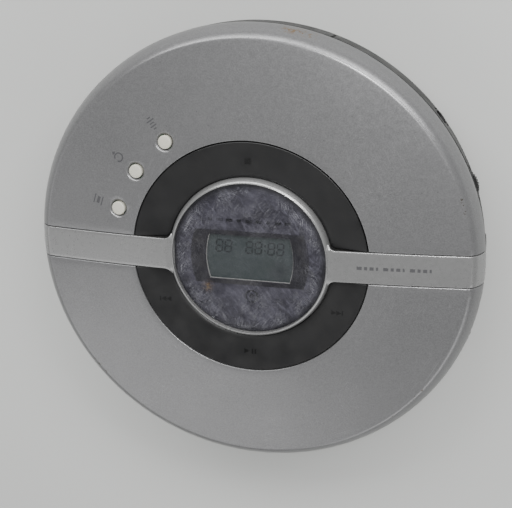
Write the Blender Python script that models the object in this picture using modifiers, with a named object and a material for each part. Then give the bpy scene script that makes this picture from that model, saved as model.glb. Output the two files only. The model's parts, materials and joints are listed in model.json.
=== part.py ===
"""Portable disc player, lying flat: lid up (+Z), hinge at the rear (+Y), opening slider in front (-Y).

Every sub-part is one object. Sizes below are in millimetres and MM turns them into metres.
"""
import bpy
import bmesh
from math import atan2, cos, degrees, pi, radians, sin
from mathutils import Matrix, Vector

MM = 0.001

# ---- driving dimensions (millimetres) ----
OUTER_R = 69.9            # player's outer radius
HEIGHT = 27.9             # top of the window above the surface that the feet stand on
GAP = 0.3                 # clearance between pieces that touch

RIDGE_R = 66.24           # where the domed top turns into the bevelled rim
DOME_DROP = 4.31          # fall of the dome from the centre to DOME_R
DOME_R = 66.0
LID_EDGE_Z = 16.4         # lower edge of the lid
LID_WALL = 1.2
RIM_START = radians(25)   # where the rim's ellipse starts, which leaves a crisp ridge

BASE_BOTTOM_Z = 1.0
BASE_FLOOR_Z = 2.4
BASE_TOP_Z = 14.9
BASE_FLAT_R = 62.0        # flat underside
BASE_SIDE_R = 69.0        # top of the rounded lower edge
BASE_SIDE_Z = 8.0
BASE_WALL = 1.6

DECK_FLOOR_Z = 17.9       # floor of the disc well
DECK_PLATE = 1.0
DECK_RIM_Z = 20.6
WELL_R = 61.6             # a 120 mm disc with 1.6 mm all round
DECK_RIM_R = 67.0

BAND_HALF = 4.88          # silver band across the lid
BAND_THICK = 0.55
CHANNEL_DEPTH = 0.85
RING_OUTER_R = 25.3       # silver ring round the window
RING_TOP_R = 24.2
RING_INNER_R = 23.94
RING_TOP_Z = 27.3
KEY_INNER_R = 25.6
KEY_OUTER_R = 36.5
KEY_INNER_Z = 25.3        # the keys are dished towards the window
KEY_OUTER_Z = 26.5
KEY_THICK = 1.0
KEY_AXIS_Z = 24.4         # height of the axes on which the transport key tilts

BUTTON_R = 2.1            # three small round buttons
BUTTON_PITCH_R = 43.3
BUTTON_ANGLES = (126, 144, 162)
BUTTON_NAMES = ("sound", "mode", "display")

BOARD_Z = (23.15, 23.7)   # display and key board inside the lid
PANEL_Z = (22.3, 22.85)   # inner cover of the lid
PANEL_R = 56.0
BOARD_R = 35.0

HINGE_Y = 65.2
HINGE_Z = 14.6
HINGE_PIN_R = 0.8
KNUCKLE_R = 1.5
LID_KNUCKLE_X = (3.0, 8.0)
BASE_KNUCKLE_X = (8.4, 13.4)
COVER_HALF_X = 22.4       # hinge cover, the piece of side wall that turns with the lid
WELL_HALF_X = 23.0        # hinge recess behind it
WELL_FRONT_Y = 59.6
HINGE_SWEEP_R = 5.75      # recess that the turning cover needs, round the hinge axis

CELL_BAY_X = (-50.5, -20.5)   # inside of the battery bay, two AA cells side by side
CELL_BAY_HALF_Y = 28.0
BAY_WALL = 0.8
DOOR_AXIS = (-51.6, 1.55)     # x and z of the battery door's hinge line

DISC_SEAT_Z = 19.5        # underside of a disc on the turntable
TURNTABLE_R = 13.5
BOSS_R = 7.3
SPINDLE_R = 0.8
LENS_Y = -24.0            # laser lens, sled at its inner stop
SLED_TRAVEL = 34.0
ROD_X = 11.0
ROD_Z = 9.5
ROD_R = 1.0
ROD_PLAY = 0.12           # clearance round rods and hinge pins

MODULE = 0.5              # gear module
PINION_TEETH = 12
IDLER_TEETH = 24
MOTOR_TEETH = 10
RACK_X = 15.2             # rack's pitch line
IDLER_Y = -27.0
MOTOR_OFFSET = (6.8, -5.1)
BACKLASH = 0.12

PLATE_Z = (4.4, 5.4)      # mechanism plate

WHEEL_ANGLE = 20          # volume wheel, and the other controls round the right-hand side
PHONE_ANGLE = 4
POWER_ANGLE = 38
HOLD_ANGLE = -22

BIG_STEPS = 40            # segments round the large turned pieces
SMALL_STEPS = 14          # segments round rods and holes

COLOURS = {
    "silver": ((0.42, 0.42, 0.43), 0.36, 0.75),
    "bright_silver": ((0.55, 0.55, 0.55), 0.30, 0.80),
    "black": ((0.025, 0.025, 0.027), 0.45, 0.0),
    "deck": ((0.030, 0.030, 0.033), 0.55, 0.0),
    "cream": ((0.72, 0.70, 0.64), 0.40, 0.0),
    "rubber": ((0.02, 0.02, 0.02), 0.80, 0.0),
    "steel": ((0.60, 0.60, 0.60), 0.25, 1.0),
    "board": ((0.02, 0.16, 0.07), 0.50, 0.0),
    "chip": ((0.02, 0.02, 0.02), 0.40, 0.0),
    "window": ((0.05, 0.045, 0.055), 0.12, 0.0),
    "mask": ((0.03, 0.028, 0.035), 0.50, 0.0),
    "lcd": ((0.10, 0.12, 0.11), 0.30, 0.0),
    "bezel": ((0.30, 0.30, 0.30), 0.40, 0.5),
    "white_gear": ((0.75, 0.74, 0.70), 0.40, 0.0),
    "zinc": ((0.45, 0.45, 0.46), 0.45, 0.9),
    "lens": ((0.10, 0.14, 0.30), 0.05, 0.0),
}


# ---- scene and helpers ----
def clear_scene():
    for obj in list(bpy.data.objects):
        bpy.data.objects.remove(obj, do_unlink=True)


def new_collection(name):
    group = bpy.data.collections.new(name)
    bpy.context.scene.collection.children.link(group)
    return group


def make_material(name):
    colour, roughness, metallic = COLOURS[name]
    mat = bpy.data.materials.new(name)
    mat.use_nodes = True
    shader = mat.node_tree.nodes["Principled BSDF"]
    shader.inputs["Base Color"].default_value = (*colour, 1.0)
    shader.inputs["Roughness"].default_value = roughness
    shader.inputs["Metallic"].default_value = metallic
    mat.diffuse_color = (*colour, 1.0)
    return mat


def add_object(name, data, at, material):
    """Add a part at a place in metres; with no material it is a cutter that stays out of renders."""
    obj = bpy.data.objects.new(name, data)
    obj.location = at
    if material is None:
        obj.hide_render = True
        obj.display_type = "WIRE"
        CUTTERS.objects.link(obj)
    else:
        data.materials.append(MATERIALS[material])
        PARTS.objects.link(obj)
    return obj


def place(name, mesh, material, pivot=(0, 0, 0)):
    """Put a mesh drawn in player coordinates into the scene, with its origin at pivot (mm)."""
    at = Vector(pivot) * MM
    mesh.transform(Matrix.Translation(-at))
    return add_object(name, mesh, at, material)


def turned(name, profile, material, pivot=(0, 0, 0), steps=BIG_STEPS, closed=True):
    """Turn (radius, height) points (mm) about the vertical axis through pivot, which is the origin."""
    mesh = bpy.data.meshes.new(name)
    points = [(r * MM, 0.0, (z - pivot[2]) * MM) for r, z in profile]
    edges = [(i, i + 1) for i in range(len(points) - 1)]
    if closed:
        edges.append((len(points) - 1, 0))
    mesh.from_pydata(points, edges, [])
    obj = add_object(name, mesh, Vector(pivot) * MM, material)
    screw = obj.modifiers.new("turn", "SCREW")
    screw.axis = "Z"
    screw.steps = steps
    screw.render_steps = steps
    screw.use_merge_vertices = True
    screw.merge_threshold = 0.000001
    screw.use_smooth_shade = True
    return obj


def box(name, low, high, material=None, pivot=(0, 0, 0), turn=0.0):
    """Box between two corners (mm); turn swings it about the player's vertical axis, in degrees."""
    bm = bmesh.new()
    bmesh.ops.create_cube(bm, size=1.0)
    low, high = Vector(low) * MM, Vector(high) * MM
    bmesh.ops.scale(bm, vec=high - low, verts=bm.verts)
    bmesh.ops.translate(bm, vec=(low + high) / 2, verts=bm.verts)
    bmesh.ops.rotate(bm, cent=(0, 0, 0), matrix=Matrix.Rotation(radians(turn), 3, "Z"), verts=bm.verts)
    mesh = bpy.data.meshes.new(name)
    bm.to_mesh(mesh)
    bm.free()
    return place(name, mesh, material, pivot)


def rod(name, start, end, radius, material=None, pivot=(0, 0, 0), steps=SMALL_STEPS, turn=0.0):
    """Round bar from start to end (mm)."""
    start, end = Vector(start) * MM, Vector(end) * MM
    bm = bmesh.new()
    bmesh.ops.create_cone(bm, cap_ends=True, segments=steps, radius1=radius * MM,
                          radius2=radius * MM, depth=(end - start).length)
    align = (end - start).to_track_quat("Z", "Y").to_matrix()
    bmesh.ops.rotate(bm, cent=(0, 0, 0), matrix=align, verts=bm.verts)
    bmesh.ops.translate(bm, vec=(start + end) / 2, verts=bm.verts)
    bmesh.ops.rotate(bm, cent=(0, 0, 0), matrix=Matrix.Rotation(radians(turn), 3, "Z"), verts=bm.verts)
    mesh = bpy.data.meshes.new(name)
    bm.to_mesh(mesh)
    bm.free()
    obj = place(name, mesh, material, pivot)
    if material is not None:
        mesh.shade_smooth()
        mesh.set_sharp_from_angle(angle=radians(40))
    return obj


def flat(name, outline, low, high, material=None, pivot=(0, 0, 0)):
    """Plate with a closed outline of (x, y) points (mm) between two heights."""
    curve = bpy.data.curves.new(name + "_outline", "CURVE")
    curve.dimensions = "2D"
    curve.fill_mode = "BOTH"
    curve.extrude = (high - low) / 2 * MM
    spline = curve.splines.new("POLY")
    spline.points.add(len(outline) - 1)
    for point, (x, y) in zip(spline.points, outline):
        point.co = (x * MM, y * MM, 0.0, 1.0)
    spline.use_cyclic_u = True
    guide = bpy.data.objects.new(name + "_outline", curve)
    guide.location.z = (low + high) / 2 * MM
    bpy.context.scene.collection.objects.link(guide)
    bpy.context.view_layer.update()
    shape = guide.evaluated_get(bpy.context.evaluated_depsgraph_get())
    mesh = bpy.data.meshes.new_from_object(shape)
    mesh.transform(guide.matrix_world)
    bpy.data.objects.remove(guide, do_unlink=True)
    bm = bmesh.new()
    bm.from_mesh(mesh)
    bmesh.ops.remove_doubles(bm, verts=bm.verts, dist=0.000001)
    bmesh.ops.recalc_face_normals(bm, faces=bm.faces)
    bm.to_mesh(mesh)
    bm.free()
    mesh.materials.clear()
    return place(name, mesh, material, pivot)


def attach(parent, *children):
    """Let the children follow their parent, without moving them."""
    bpy.context.view_layer.update()
    for child in children:
        child.parent = parent
        child.matrix_parent_inverse = parent.matrix_world.inverted()


def axis_point(name, at):
    """Empty on a joint's axis (mm) that carries the moving pieces."""
    empty = bpy.data.objects.new(name, None)
    empty.location = Vector(at) * MM
    empty.empty_display_size = 5 * MM
    PARTS.objects.link(empty)
    return empty


def combine(target, tool, operation):
    """Boolean the tool into the target: DIFFERENCE, UNION or INTERSECT."""
    step = target.modifiers.new(tool.name, "BOOLEAN")
    step.operation = operation
    step.solver = "EXACT"
    step.object = tool
    return target


def cut(target, *tools):
    for tool in tools:
        combine(target, tool, "DIFFERENCE")
    return target


def join(target, *tools):
    for tool in tools:
        combine(target, tool, "UNION")
    return target


def polar(radius, angle):
    """(x, y) at a radius and an angle in degrees."""
    return radius * cos(radians(angle)), radius * sin(radians(angle))


def arc(radius, start, end, count, centre=(0, 0)):
    """Points along an arc, both ends included."""
    points = []
    for i in range(count):
        x, y = polar(radius, start + (end - start) * i / (count - 1))
        points.append((centre[0] + x, centre[1] + y))
    return points


# ---- lid outline ----
def dome_z(r):
    return HEIGHT - DOME_DROP * (r / DOME_R) ** 2


def dome_points(r_start, r_end, count, drop=0.0):
    """Points on the dome, lowered by drop."""
    radii = [r_start + (r_end - r_start) * i / (count - 1) for i in range(count)]
    return [(r, dome_z(r) - drop) for r in radii]


def rim_points(inset, count, bottom=LID_EDGE_Z):
    """Bevelled rim from the ridge down to the lid's edge, moved in by inset."""
    points = []
    top = dome_z(RIDGE_R) - inset
    for i in range(count):
        t = RIM_START + (pi / 2 - RIM_START) * i / (count - 1)
        r = OUTER_R - inset - (OUTER_R - RIDGE_R) * (1 - sin(t)) / (1 - sin(RIM_START))
        z = bottom + (top - bottom) * cos(t) / cos(RIM_START)
        points.append((r, z))
    return points


def skin(r_start, outer, inner, bottom=LID_EDGE_Z, dome_count=5, rim_count=5):
    """Closed profile of a layer of the lid between two depths below its surface."""
    top = dome_points(r_start, RIDGE_R - outer, dome_count, outer)[:-1]
    top += rim_points(outer, rim_count, bottom)
    under = dome_points(r_start, RIDGE_R - inner, dome_count, inner)[:-1]
    under += rim_points(inner, rim_count, bottom)
    return top + under[::-1]


# ---- base ----
def lower_edge(inset, count=5):
    """Quarter round between the base's side and its flat underside, moved in by inset."""
    width = BASE_SIDE_R - BASE_FLAT_R
    depth = BASE_SIDE_Z - BASE_BOTTOM_Z
    points = []
    for i in range(count):
        t = pi / 2 * i / (count - 1)
        points.append((BASE_FLAT_R - inset + width * cos(t), BASE_SIDE_Z - (depth - inset) * sin(t)))
    return points


FOOT_SPOTS = [polar(54, a) for a in (50, 130, 230, 310)]
SCREW_SPOTS = [polar(58.5, a) for a in (75, 105, 285)]


def base_shell():
    outside = [(OUTER_R - 0.15, BASE_TOP_Z)] + lower_edge(0.0)
    inside = [(OUTER_R - 0.15 - BASE_WALL, BASE_TOP_Z)] + lower_edge(BASE_FLOOR_Z - BASE_BOTTOM_Z)
    profile = [(0.0, BASE_FLOOR_Z)] + inside[::-1] + outside + [(0.0, BASE_BOTTOM_Z)]
    shell = turned("base_shell", profile, "black", closed=False)
    for i, (half_x, rear_y) in enumerate(((WELL_HALF_X + 1, 64.3), (18, 66.2), (12, 67.6))):
        join(shell, box("hinge_tub_%d" % i, (-half_x, WELL_FRONT_Y - 1, HINGE_Z - HINGE_SWEEP_R - 1.2),
                        (half_x, rear_y, BASE_TOP_Z - 0.4 - 0.3 * i)))
    recess_ends = ((-WELL_HALF_X, HINGE_Y, HINGE_Z), (WELL_HALF_X, HINGE_Y, HINGE_Z))
    recess = rod("hinge_recess", *recess_ends, HINGE_SWEEP_R, steps=32)
    combine(recess, box("recess_front", (-30, WELL_FRONT_Y, 0), (30, 80, 30)), "INTERSECT")
    cut(shell, recess)
    for side in (-1, 1):
        near, far = sorted((side * BASE_KNUCKLE_X[0], side * BASE_KNUCKLE_X[1]))
        join(shell, box("knuckle_arm_%d" % side, (near + 0.1, WELL_FRONT_Y - 0.5, HINGE_Z - 0.9),
                        (far - 0.1, HINGE_Y - 0.4, HINGE_Z + 0.9)))
        join(shell, rod("knuckle_%d" % side, (near, HINGE_Y, HINGE_Z), (far, HINGE_Y, HINGE_Z), KNUCKLE_R))
    cut(shell, rod("hinge_bore", (-20, HINGE_Y, HINGE_Z), (20, HINGE_Y, HINGE_Z), HINGE_PIN_R + ROD_PLAY))
    bay_low, bay_high = CELL_BAY_X
    cut(shell, box("door_opening", (DOOR_AXIS[0] - 0.9, -CELL_BAY_HALF_Y - 1.3, 0),
                   (bay_high + 1.8, CELL_BAY_HALF_Y + 1.3, 3)))
    for i, (x, y) in enumerate(FOOT_SPOTS):
        cut(shell, rod("foot_pocket_%d" % i, (x, y, 0), (x, y, 1.6), 4.3))
    for i, (x, y) in enumerate(SCREW_SPOTS):
        cut(shell, rod("screw_hole_%d" % i, (x, y, 0), (x, y, 3), 1.3, steps=16),
            rod("screw_sink_%d" % i, (x, y, 0), (x, y, 1.7), 2.4, steps=16))
    cut(shell, rod("phone_hole", (64, 0, 9.5), (75, 0, 9.5), 3.0, turn=PHONE_ANGLE),
        rod("power_hole", (64, 0, 9.5), (75, 0, 9.5), 3.4, turn=POWER_ANGLE),
        box("wheel_slot", (66, -5.6, 9.8), (75, 5.6, 12.8), turn=WHEEL_ANGLE),
        box("hold_slot", (66, -1.2, 10.2), (75, 4.2, 11.8), turn=HOLD_ANGLE),
        box("slider_slot", (-2.9, -75, 10.6), (5.9, -66, 12.8)))


def deck():
    rim_r = DECK_RIM_R
    under = DECK_FLOOR_Z - DECK_PLATE
    profile = [(12.0, DECK_FLOOR_Z), (WELL_R, DECK_FLOOR_Z), (WELL_R + 0.2, DECK_RIM_Z),
               (rim_r, DECK_RIM_Z),
               (rim_r + 0.4, DECK_RIM_Z - 0.4), (rim_r + 0.4, 16.0), (OUTER_R - 0.3, 16.0),
               (OUTER_R - 0.3, BASE_TOP_Z + GAP), (rim_r - 0.4, BASE_TOP_Z + GAP),
               (rim_r - 0.4, DECK_RIM_Z - 0.9),
               (WELL_R + 1.0, DECK_RIM_Z - 0.9), (WELL_R + 1.0, under), (12.0, under)]
    part = turned("deck", profile, "deck")
    cut(part, box("hinge_clearance", (-WELL_HALF_X, 63.4, 14), (WELL_HALF_X, 75, 22)),
        box("sled_slot", (-7.5, -61.55, 16), (7.5, -14.5, 19)),
        box("catch_slot", (-4.2, -66.2, 14), (8.6, -63.2, 22)))


def feet():
    for i, (x, y) in enumerate(FOOT_SPOTS):
        rod("foot_%d" % (i + 1), (x, y, 0), (x, y, 1.3), 4.0, "rubber", (x, y, 0))


def base_screws():
    for i, (x, y) in enumerate(SCREW_SPOTS):
        name = "base_screw_%d" % (i + 1)
        head = rod(name, (x, y, 1.15), (x, y, 1.4), 2.1, "steel", (x, y, 1.2), steps=16)
        join(head, rod("screw_shank_%d" % i, (x, y, 1.3), (x, y, 7.0), 0.95, steps=16))


def battery_bay():
    low, high = CELL_BAY_X
    top = DECK_FLOOR_Z - DECK_PLATE - GAP
    tray = box("battery_tray", (low - BAY_WALL, -CELL_BAY_HALF_Y - BAY_WALL, BASE_FLOOR_Z + GAP),
               (high + BAY_WALL, CELL_BAY_HALF_Y + BAY_WALL, top), "black")
    cut(tray, box("tray_inside", (low, -CELL_BAY_HALF_Y, 0), (high, CELL_BAY_HALF_Y, 20)))
    for i in range(2):
        x = low + (high - low) * (0.25 + 0.5 * i)
        side = 1 - 2 * i
        coil("battery_spring_%d" % (i + 1), x, side * (CELL_BAY_HALF_Y - 1.3), -side)
    wall_y = CELL_BAY_HALF_Y - GAP
    box("battery_bridge", (low + 1.5, wall_y - 0.4, 5.5), (high - 1.5, wall_y, 13.5), "steel")


def coil(name, x, y, direction):
    """Tapering contact spring of a cell, wound along Y."""
    turns, per_turn, wire = 2.5, 12, 0.35
    curve = bpy.data.curves.new(name, "CURVE")
    curve.dimensions = "3D"
    curve.bevel_depth = wire * MM
    curve.bevel_resolution = 1
    curve.use_fill_caps = True
    spline = curve.splines.new("POLY")
    count = int(turns * per_turn) + 1
    spline.points.add(count - 1)
    for i, point in enumerate(spline.points):
        t = i / (count - 1)
        angle = 2 * pi * turns * t
        radius = 4.0 - 1.8 * t
        point.co = ((x + radius * cos(angle)) * MM, (y - direction * 0.2 + direction * 1.9 * t) * MM,
                    (9.5 + radius * sin(angle)) * MM, 1.0)
    add_object(name, curve, (0, 0, 0), "steel")


def battery_door():
    low = DOOR_AXIS[0] - 0.3
    high = CELL_BAY_X[1] + 1.5
    half = CELL_BAY_HALF_Y + 1.0
    axis = (DOOR_AXIS[0], 0, DOOR_AXIS[1])
    door = box("battery_door", (low, -half, BASE_BOTTOM_Z), (high, half, 2.1), "black", axis)
    cut(door, box("finger_notch", (high - 3.0, -5, 0), (high - 1.2, 5, 1.5)))


def main_board():
    outline = arc(57.5, -8, 98, 16) + [(-17, 55), (-17, 17), (37, 17), (37, -8)]
    board = flat("main_board", outline, 3.2, 4.2, "board")
    x, y = SCREW_SPOTS[0]
    cut(board, rod("board_hole", (x, y, 2), (x, y, 6), 3.2, steps=12))
    box("decoder_chip", (4, 24, 4.5), (18, 38, 5.9), "chip")


def jacks():
    phone = box("headphone_jack", (56.5, -3.2, 6.0), (66.2, 3.2, 12.6), "black", turn=PHONE_ANGLE)
    join(phone, rod("phone_bush", (65, 0, 9.5), (69.3, 0, 9.5), 2.7, turn=PHONE_ANGLE))
    cut(phone, rod("phone_bore", (58, 0, 9.5), (75, 0, 9.5), 1.85, turn=PHONE_ANGLE))
    power = box("power_jack", (57.5, -3.6, 6.0), (66.0, 3.6, 12.9), "black", turn=POWER_ANGLE)
    join(power, rod("power_bush", (65, 0, 9.5), (69.0, 0, 9.5), 3.1, turn=POWER_ANGLE))
    cut(power, rod("power_bore", (59, 0, 9.5), (75, 0, 9.5), 2.3, turn=POWER_ANGLE))
    join(power, rod("power_pin", (58.5, 0, 9.5), (67.5, 0, 9.5), 0.7, steps=12, turn=POWER_ANGLE))


def side_controls():
    wheel_r, centre_r = 7.0, 63.3
    x, y = polar(centre_r, WHEEL_ANGLE)
    teeth = 24
    outline = []
    for i in range(teeth * 2):
        r = wheel_r - (0.25 if i % 2 else 0.0)
        px, py = polar(r, 180.0 * i / teeth)
        outline.append((x + px, y + py))
    wheel = flat("volume_wheel", outline, 10.2, 12.4, "black", (x, y, 11.3))
    cut(wheel, rod("wheel_bore", (x, y, 9), (x, y, 14), 1.15, steps=16))
    pot_low, pot_high = (centre_r - 5, -4.5, 6.2), (centre_r + 3.5, 4.5, 9.6)
    pot = box("volume_control", pot_low, pot_high, "chip", turn=WHEEL_ANGLE)
    join(pot, rod("wheel_pin", (x, y, 9.3), (x, y, 12.9), 1.0, steps=16))
    knob = box("hold_knob", (69.7, -2.6, 9.8), (70.4, 2.6, 12.2), "black", turn=HOLD_ANGLE)
    join(knob, box("hold_stem", (65.0, -0.9, 10.4), (70.0, 0.9, 11.6), turn=HOLD_ANGLE))


def open_slider():
    slider = box("open_slider", (-7, -70.6, 9.9), (7, -69.95, 13.5), "black")
    join(slider, box("slider_stem", (-2.5, -70.2, 11.0), (2.5, -66.0, 12.4)),
         box("slider_tongue", (-5.2, -67.0, 11.05), (5.2, -63.5, 12.35)),
         box("slider_post", (3.6, -65.8, 12.0), (5.1, -64.2, 16.3)))
    flat("lid_lift_spring", [(14, -65.0), (30, -59.6), (30, -60.8), (14, -66.2)], 13.6, 14.0, "steel")


# ---- mechanism ----
def mechanism_plate():
    low, high = PLATE_Z
    outline = [(-16, -58), (13, -58), (13, -41), (34, -41), (34, -18), (16, -18), (16, 12.5), (-16, 12.5)]
    plate = flat("mechanism_plate", outline, low, high, "zinc")
    for x in (-ROD_X, ROD_X):
        for front, rear in ((-59.9, -57.9), (-12.4, -10.6)):
            join(plate, box("rod_ear", (x - 1.6, front, low + 0.1), (x + 1.6, rear, ROD_Z + 1.9)))
        cut(plate, rod("rod_seat", (x, -63, ROD_Z), (x, -8, ROD_Z), ROD_R + ROD_PLAY))
    x, y = RACK_X + MODULE * PINION_TEETH / 2, IDLER_Y
    join(plate, rod("idler_pin", (x, y, low + 0.1), (x, y, 12.0), 0.7, steps=16))
    cut(plate, box("plate_window", (-8, -54, 0), (8, -16, 8)))
    for i, (px, py) in enumerate(((-12, 8), (12, 8), (0, -56.5))):
        radius = 1.9 if i == 2 else 3.0
        rod("damper_%d" % (i + 1), (px, py, BASE_FLOOR_Z + GAP), (px, py, low - GAP), radius, "rubber",
            (px, py, 3), steps=16)


def guide_rods():
    for i, x in enumerate((-ROD_X, ROD_X)):
        rod("guide_rod_%d" % (i + 1), (x, -59.6, ROD_Z), (x, -10.8, ROD_Z), ROD_R, "steel", steps=16)


def spindle():
    bottom = PLATE_Z[1] + GAP
    profile = [(1.2, 12.3), (9.6, 12.3), (10.5, 11.6), (10.5, bottom), (1.2, bottom)]
    turned("spindle_motor", profile, "zinc", steps=24)
    table_high, table_low = DISC_SEAT_Z - 0.45, DECK_FLOOR_Z + GAP
    turntable = [(0.0, table_high), (TURNTABLE_R - 0.3, table_high), (TURNTABLE_R, table_high - 0.25),
                 (TURNTABLE_R, table_low), (4.4, table_low), (3.6, 12.7), (SPINDLE_R, 12.7),
                 (SPINDLE_R, 6.0), (0.0, 6.0)]
    table = turned("turntable", turntable, "black", steps=28, closed=False)
    pad_low, pad_high = DISC_SEAT_Z - 0.15, DISC_SEAT_Z + 0.15
    pad_profile = [(8.6, pad_high), (12.4, pad_high), (12.4, pad_low), (8.6, pad_low)]
    pad = turned("turntable_pad", pad_profile, "rubber", steps=24)
    low = DISC_SEAT_Z - 0.3
    boss = [(0.0, 21.7), (5.6, 21.7), (6.9, 21.2), (BOSS_R, 20.2), (BOSS_R, low), (0.0, low)]
    hub = turned("hub_boss", boss, "white_gear", steps=24, closed=False)
    attach(table, pad, hub)
    for i in range(3):
        angle = 90 + 120 * i
        cut(hub, box("jaw_pocket_%d" % i, (4.2, -1.3, 20.0), (9, 1.3, 21.35), turn=angle))
        x, y = polar(6.6, angle)
        jaw = box("chuck_jaw_%d" % (i + 1), (5.1, -1.0, 20.25), (7.7, 1.0, 21.1), "white_gear", (x, y, 20.7),
                  turn=angle)
        edge = jaw.modifiers.new("edge", "BEVEL")
        edge.width = 0.25 * MM
        edge.segments = 1
        attach(table, jaw)


def gear_outline(teeth, centre, phase=0.0):
    """Gear outline with straight-sided teeth on a pitch circle; phase is in degrees."""
    pitch_r = MODULE * teeth / 2
    outline = []
    tip, root = pitch_r + 0.85 * MODULE, pitch_r - 1.1 * MODULE
    half_pitch = 90.0 / teeth - degrees(BACKLASH / 2 / pitch_r)
    slope = degrees(0.36 * MODULE / pitch_r)
    for i in range(teeth):
        middle = phase + 360.0 * i / teeth
        for radius, offset in ((root, -half_pitch - slope), (tip, -half_pitch + slope),
                               (tip, half_pitch - slope), (root, half_pitch + slope)):
            x, y = polar(radius, middle + offset)
            outline.append((centre[0] + x, centre[1] + y))
    return outline


def sled_drive():
    idler = (RACK_X + MODULE * PINION_TEETH / 2, IDLER_Y)
    motor = (idler[0] + MOTOR_OFFSET[0], idler[1] + MOTOR_OFFSET[1])
    gear = flat("idler_gear", gear_outline(IDLER_TEETH, idler, 0.0), 6.3, 7.5, "white_gear", (*idler, 8))
    pinion = flat("idler_pinion", gear_outline(PINION_TEETH, idler, 180.0), 7.3, 11.6)
    join(gear, pinion)
    cut(gear, rod("idler_bore", (*idler, 5), (*idler, 13), 0.85, steps=16))
    line = degrees(atan2(motor[1] - idler[1], motor[0] - idler[0]))
    half_tooth = 180.0 / MOTOR_TEETH
    turns = line * IDLER_TEETH / MOTOR_TEETH
    drive_outline = gear_outline(MOTOR_TEETH, motor, line + 180.0 + turns + half_tooth)
    drive = flat("motor_pinion", drive_outline, 6.3, 7.5, "white_gear", (*motor, 7))
    join(drive, rod("motor_shaft", (*motor, 6.4), (*motor, 9.5), 0.5, steps=12))
    can = rod("sled_motor", (*motor, 7.9), (*motor, 14.0), 4.8, "zinc", (*motor, 10), steps=20)
    foot_low = (motor[0] + 3.0, motor[1] - 2, PLATE_Z[1] + GAP)
    join(can, box("motor_foot", foot_low, (motor[0] + 5.0, motor[1] + 2, 9.0)))
    cut(can, rod("shaft_hole", (*motor, 5), (*motor, 10.5), 0.75, steps=12))


def sled():
    rear, front = -12.8, -28.0
    part = box("sled", (-13.4, -22.6, 7.9), (13.4, rear, 11.6), "black")
    join(part, box("sled_tower", (-6.6, front - 0.6, 7.7), (6.6, rear - 2.4, 15.4)))
    for x in (-ROD_X, ROD_X):
        cut(part, rod("sled_bush", (x, -40, ROD_Z), (x, -5, ROD_Z), ROD_R + ROD_PLAY))
    bar_front, bar_rear = IDLER_Y - 1.6, IDLER_Y + SLED_TRAVEL + 1.6
    join(part, box("rack_bar", (12.9, bar_front, 9.9), (RACK_X - 1.1 * MODULE, bar_rear, 11.7)))
    pitch = pi * MODULE
    count = int((SLED_TRAVEL + 2.4) / pitch)
    half = pitch / 4 - BACKLASH / 2
    slope = 0.36 * MODULE
    root, tip = RACK_X - 1.1 * MODULE, RACK_X + 0.85 * MODULE
    outline = [(RACK_X - 1.4 * MODULE, bar_front)]
    for i in range(count + 1):
        middle = IDLER_Y + (i - 0.5) * pitch
        outline += [(root, middle - half - slope), (tip, middle - half + slope),
                    (tip, middle + half - slope), (root, middle + half + slope)]
    outline.append((RACK_X - 1.4 * MODULE, bar_rear))
    join(part, flat("rack_teeth", outline, 10.0, 11.6))
    cut(part, rod("lens_well", (0, LENS_Y, 12.0), (0, LENS_Y, 17), 3.9))
    cover_top = DECK_FLOOR_Z - 0.55
    holder_profile = [(2.0, cover_top + 0.2), (3.0, cover_top + 0.2), (3.2, cover_top), (3.2, 13.2),
                      (2.0, 13.2)]
    holder = turned("lens_holder", holder_profile, "black", (0, LENS_Y, 15), steps=20)
    lens_profile = [(0.0, cover_top + 0.35), (1.0, cover_top + 0.22), (1.7, cover_top - 0.15),
                    (1.7, cover_top - 0.9), (0.0, cover_top - 0.9)]
    lens = turned("objective_lens", lens_profile, "lens", (0, LENS_Y, 15), steps=16, closed=False)
    attach(part, holder, lens)


# ---- lid ----
def band_slab(name, half_width):
    """Box that keeps only the strip of the lid under the band."""
    return box(name, (-80, -half_width, 10), (80, half_width, 40))


def lid_shell():
    shell = turned("lid_shell", skin(KEY_OUTER_R + 0.4, 0.0, LID_WALL), "silver")
    channel = turned("band_channel", skin(KEY_OUTER_R - 2, -1.5, CHANNEL_DEPTH, LID_EDGE_Z - 1.5), None)
    combine(channel, band_slab("channel_limit", BAND_HALF + 0.25), "INTERSECT")
    cut(shell, channel)
    for name, angle in zip(BUTTON_NAMES, BUTTON_ANGLES):
        x, y = polar(BUTTON_PITCH_R, angle)
        cut(shell, rod("hole_" + name, (x, y, 20), (x, y, 30), BUTTON_R + 0.35))
    catch = box("lid_catch", (-3, -65.4, 15.4), (3, -64.2, 22.0), "black")
    attach(LID_AXIS, shell, catch)


def lid_band():
    top_z = RING_TOP_Z
    profile = [(RING_INNER_R, top_z), (RING_TOP_R, top_z), (RING_OUTER_R, KEY_INNER_Z),
               (RING_OUTER_R, 24.2), (22.9, 24.2), (22.9, 25.0), (RING_INNER_R, 25.0)]
    ring = turned("lid_band", profile, "bright_silver", steps=BIG_STEPS)
    strip = turned("band_strip", skin(RING_TOP_R + 0.05, 0.0, BAND_THICK), None)
    combine(strip, band_slab("strip_limit", BAND_HALF), "INTERSECT")
    join(ring, strip)
    attach(LID_AXIS, ring)


def window():
    edge = RING_INNER_R - 0.25
    top = [(r, HEIGHT - 0.65 * (r / edge) ** 2) for r in (0.0, 8.0, 16.0, edge)]
    profile = top + [(edge, 26.1), (0.0, 26.1)]
    pane = turned("window_lens", profile, "window", closed=False, steps=32)
    mask_profile = [(0.0, 25.85), (edge, 25.85), (edge, 25.45), (0.0, 25.45)]
    mask = turned("window_mask", mask_profile, "mask", closed=False, steps=24)
    cut(mask, box("mask_opening", (-13.5, -7.2, 20), (13.5, 7.2, 30)))
    attach(LID_AXIS, pane, mask)


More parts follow.
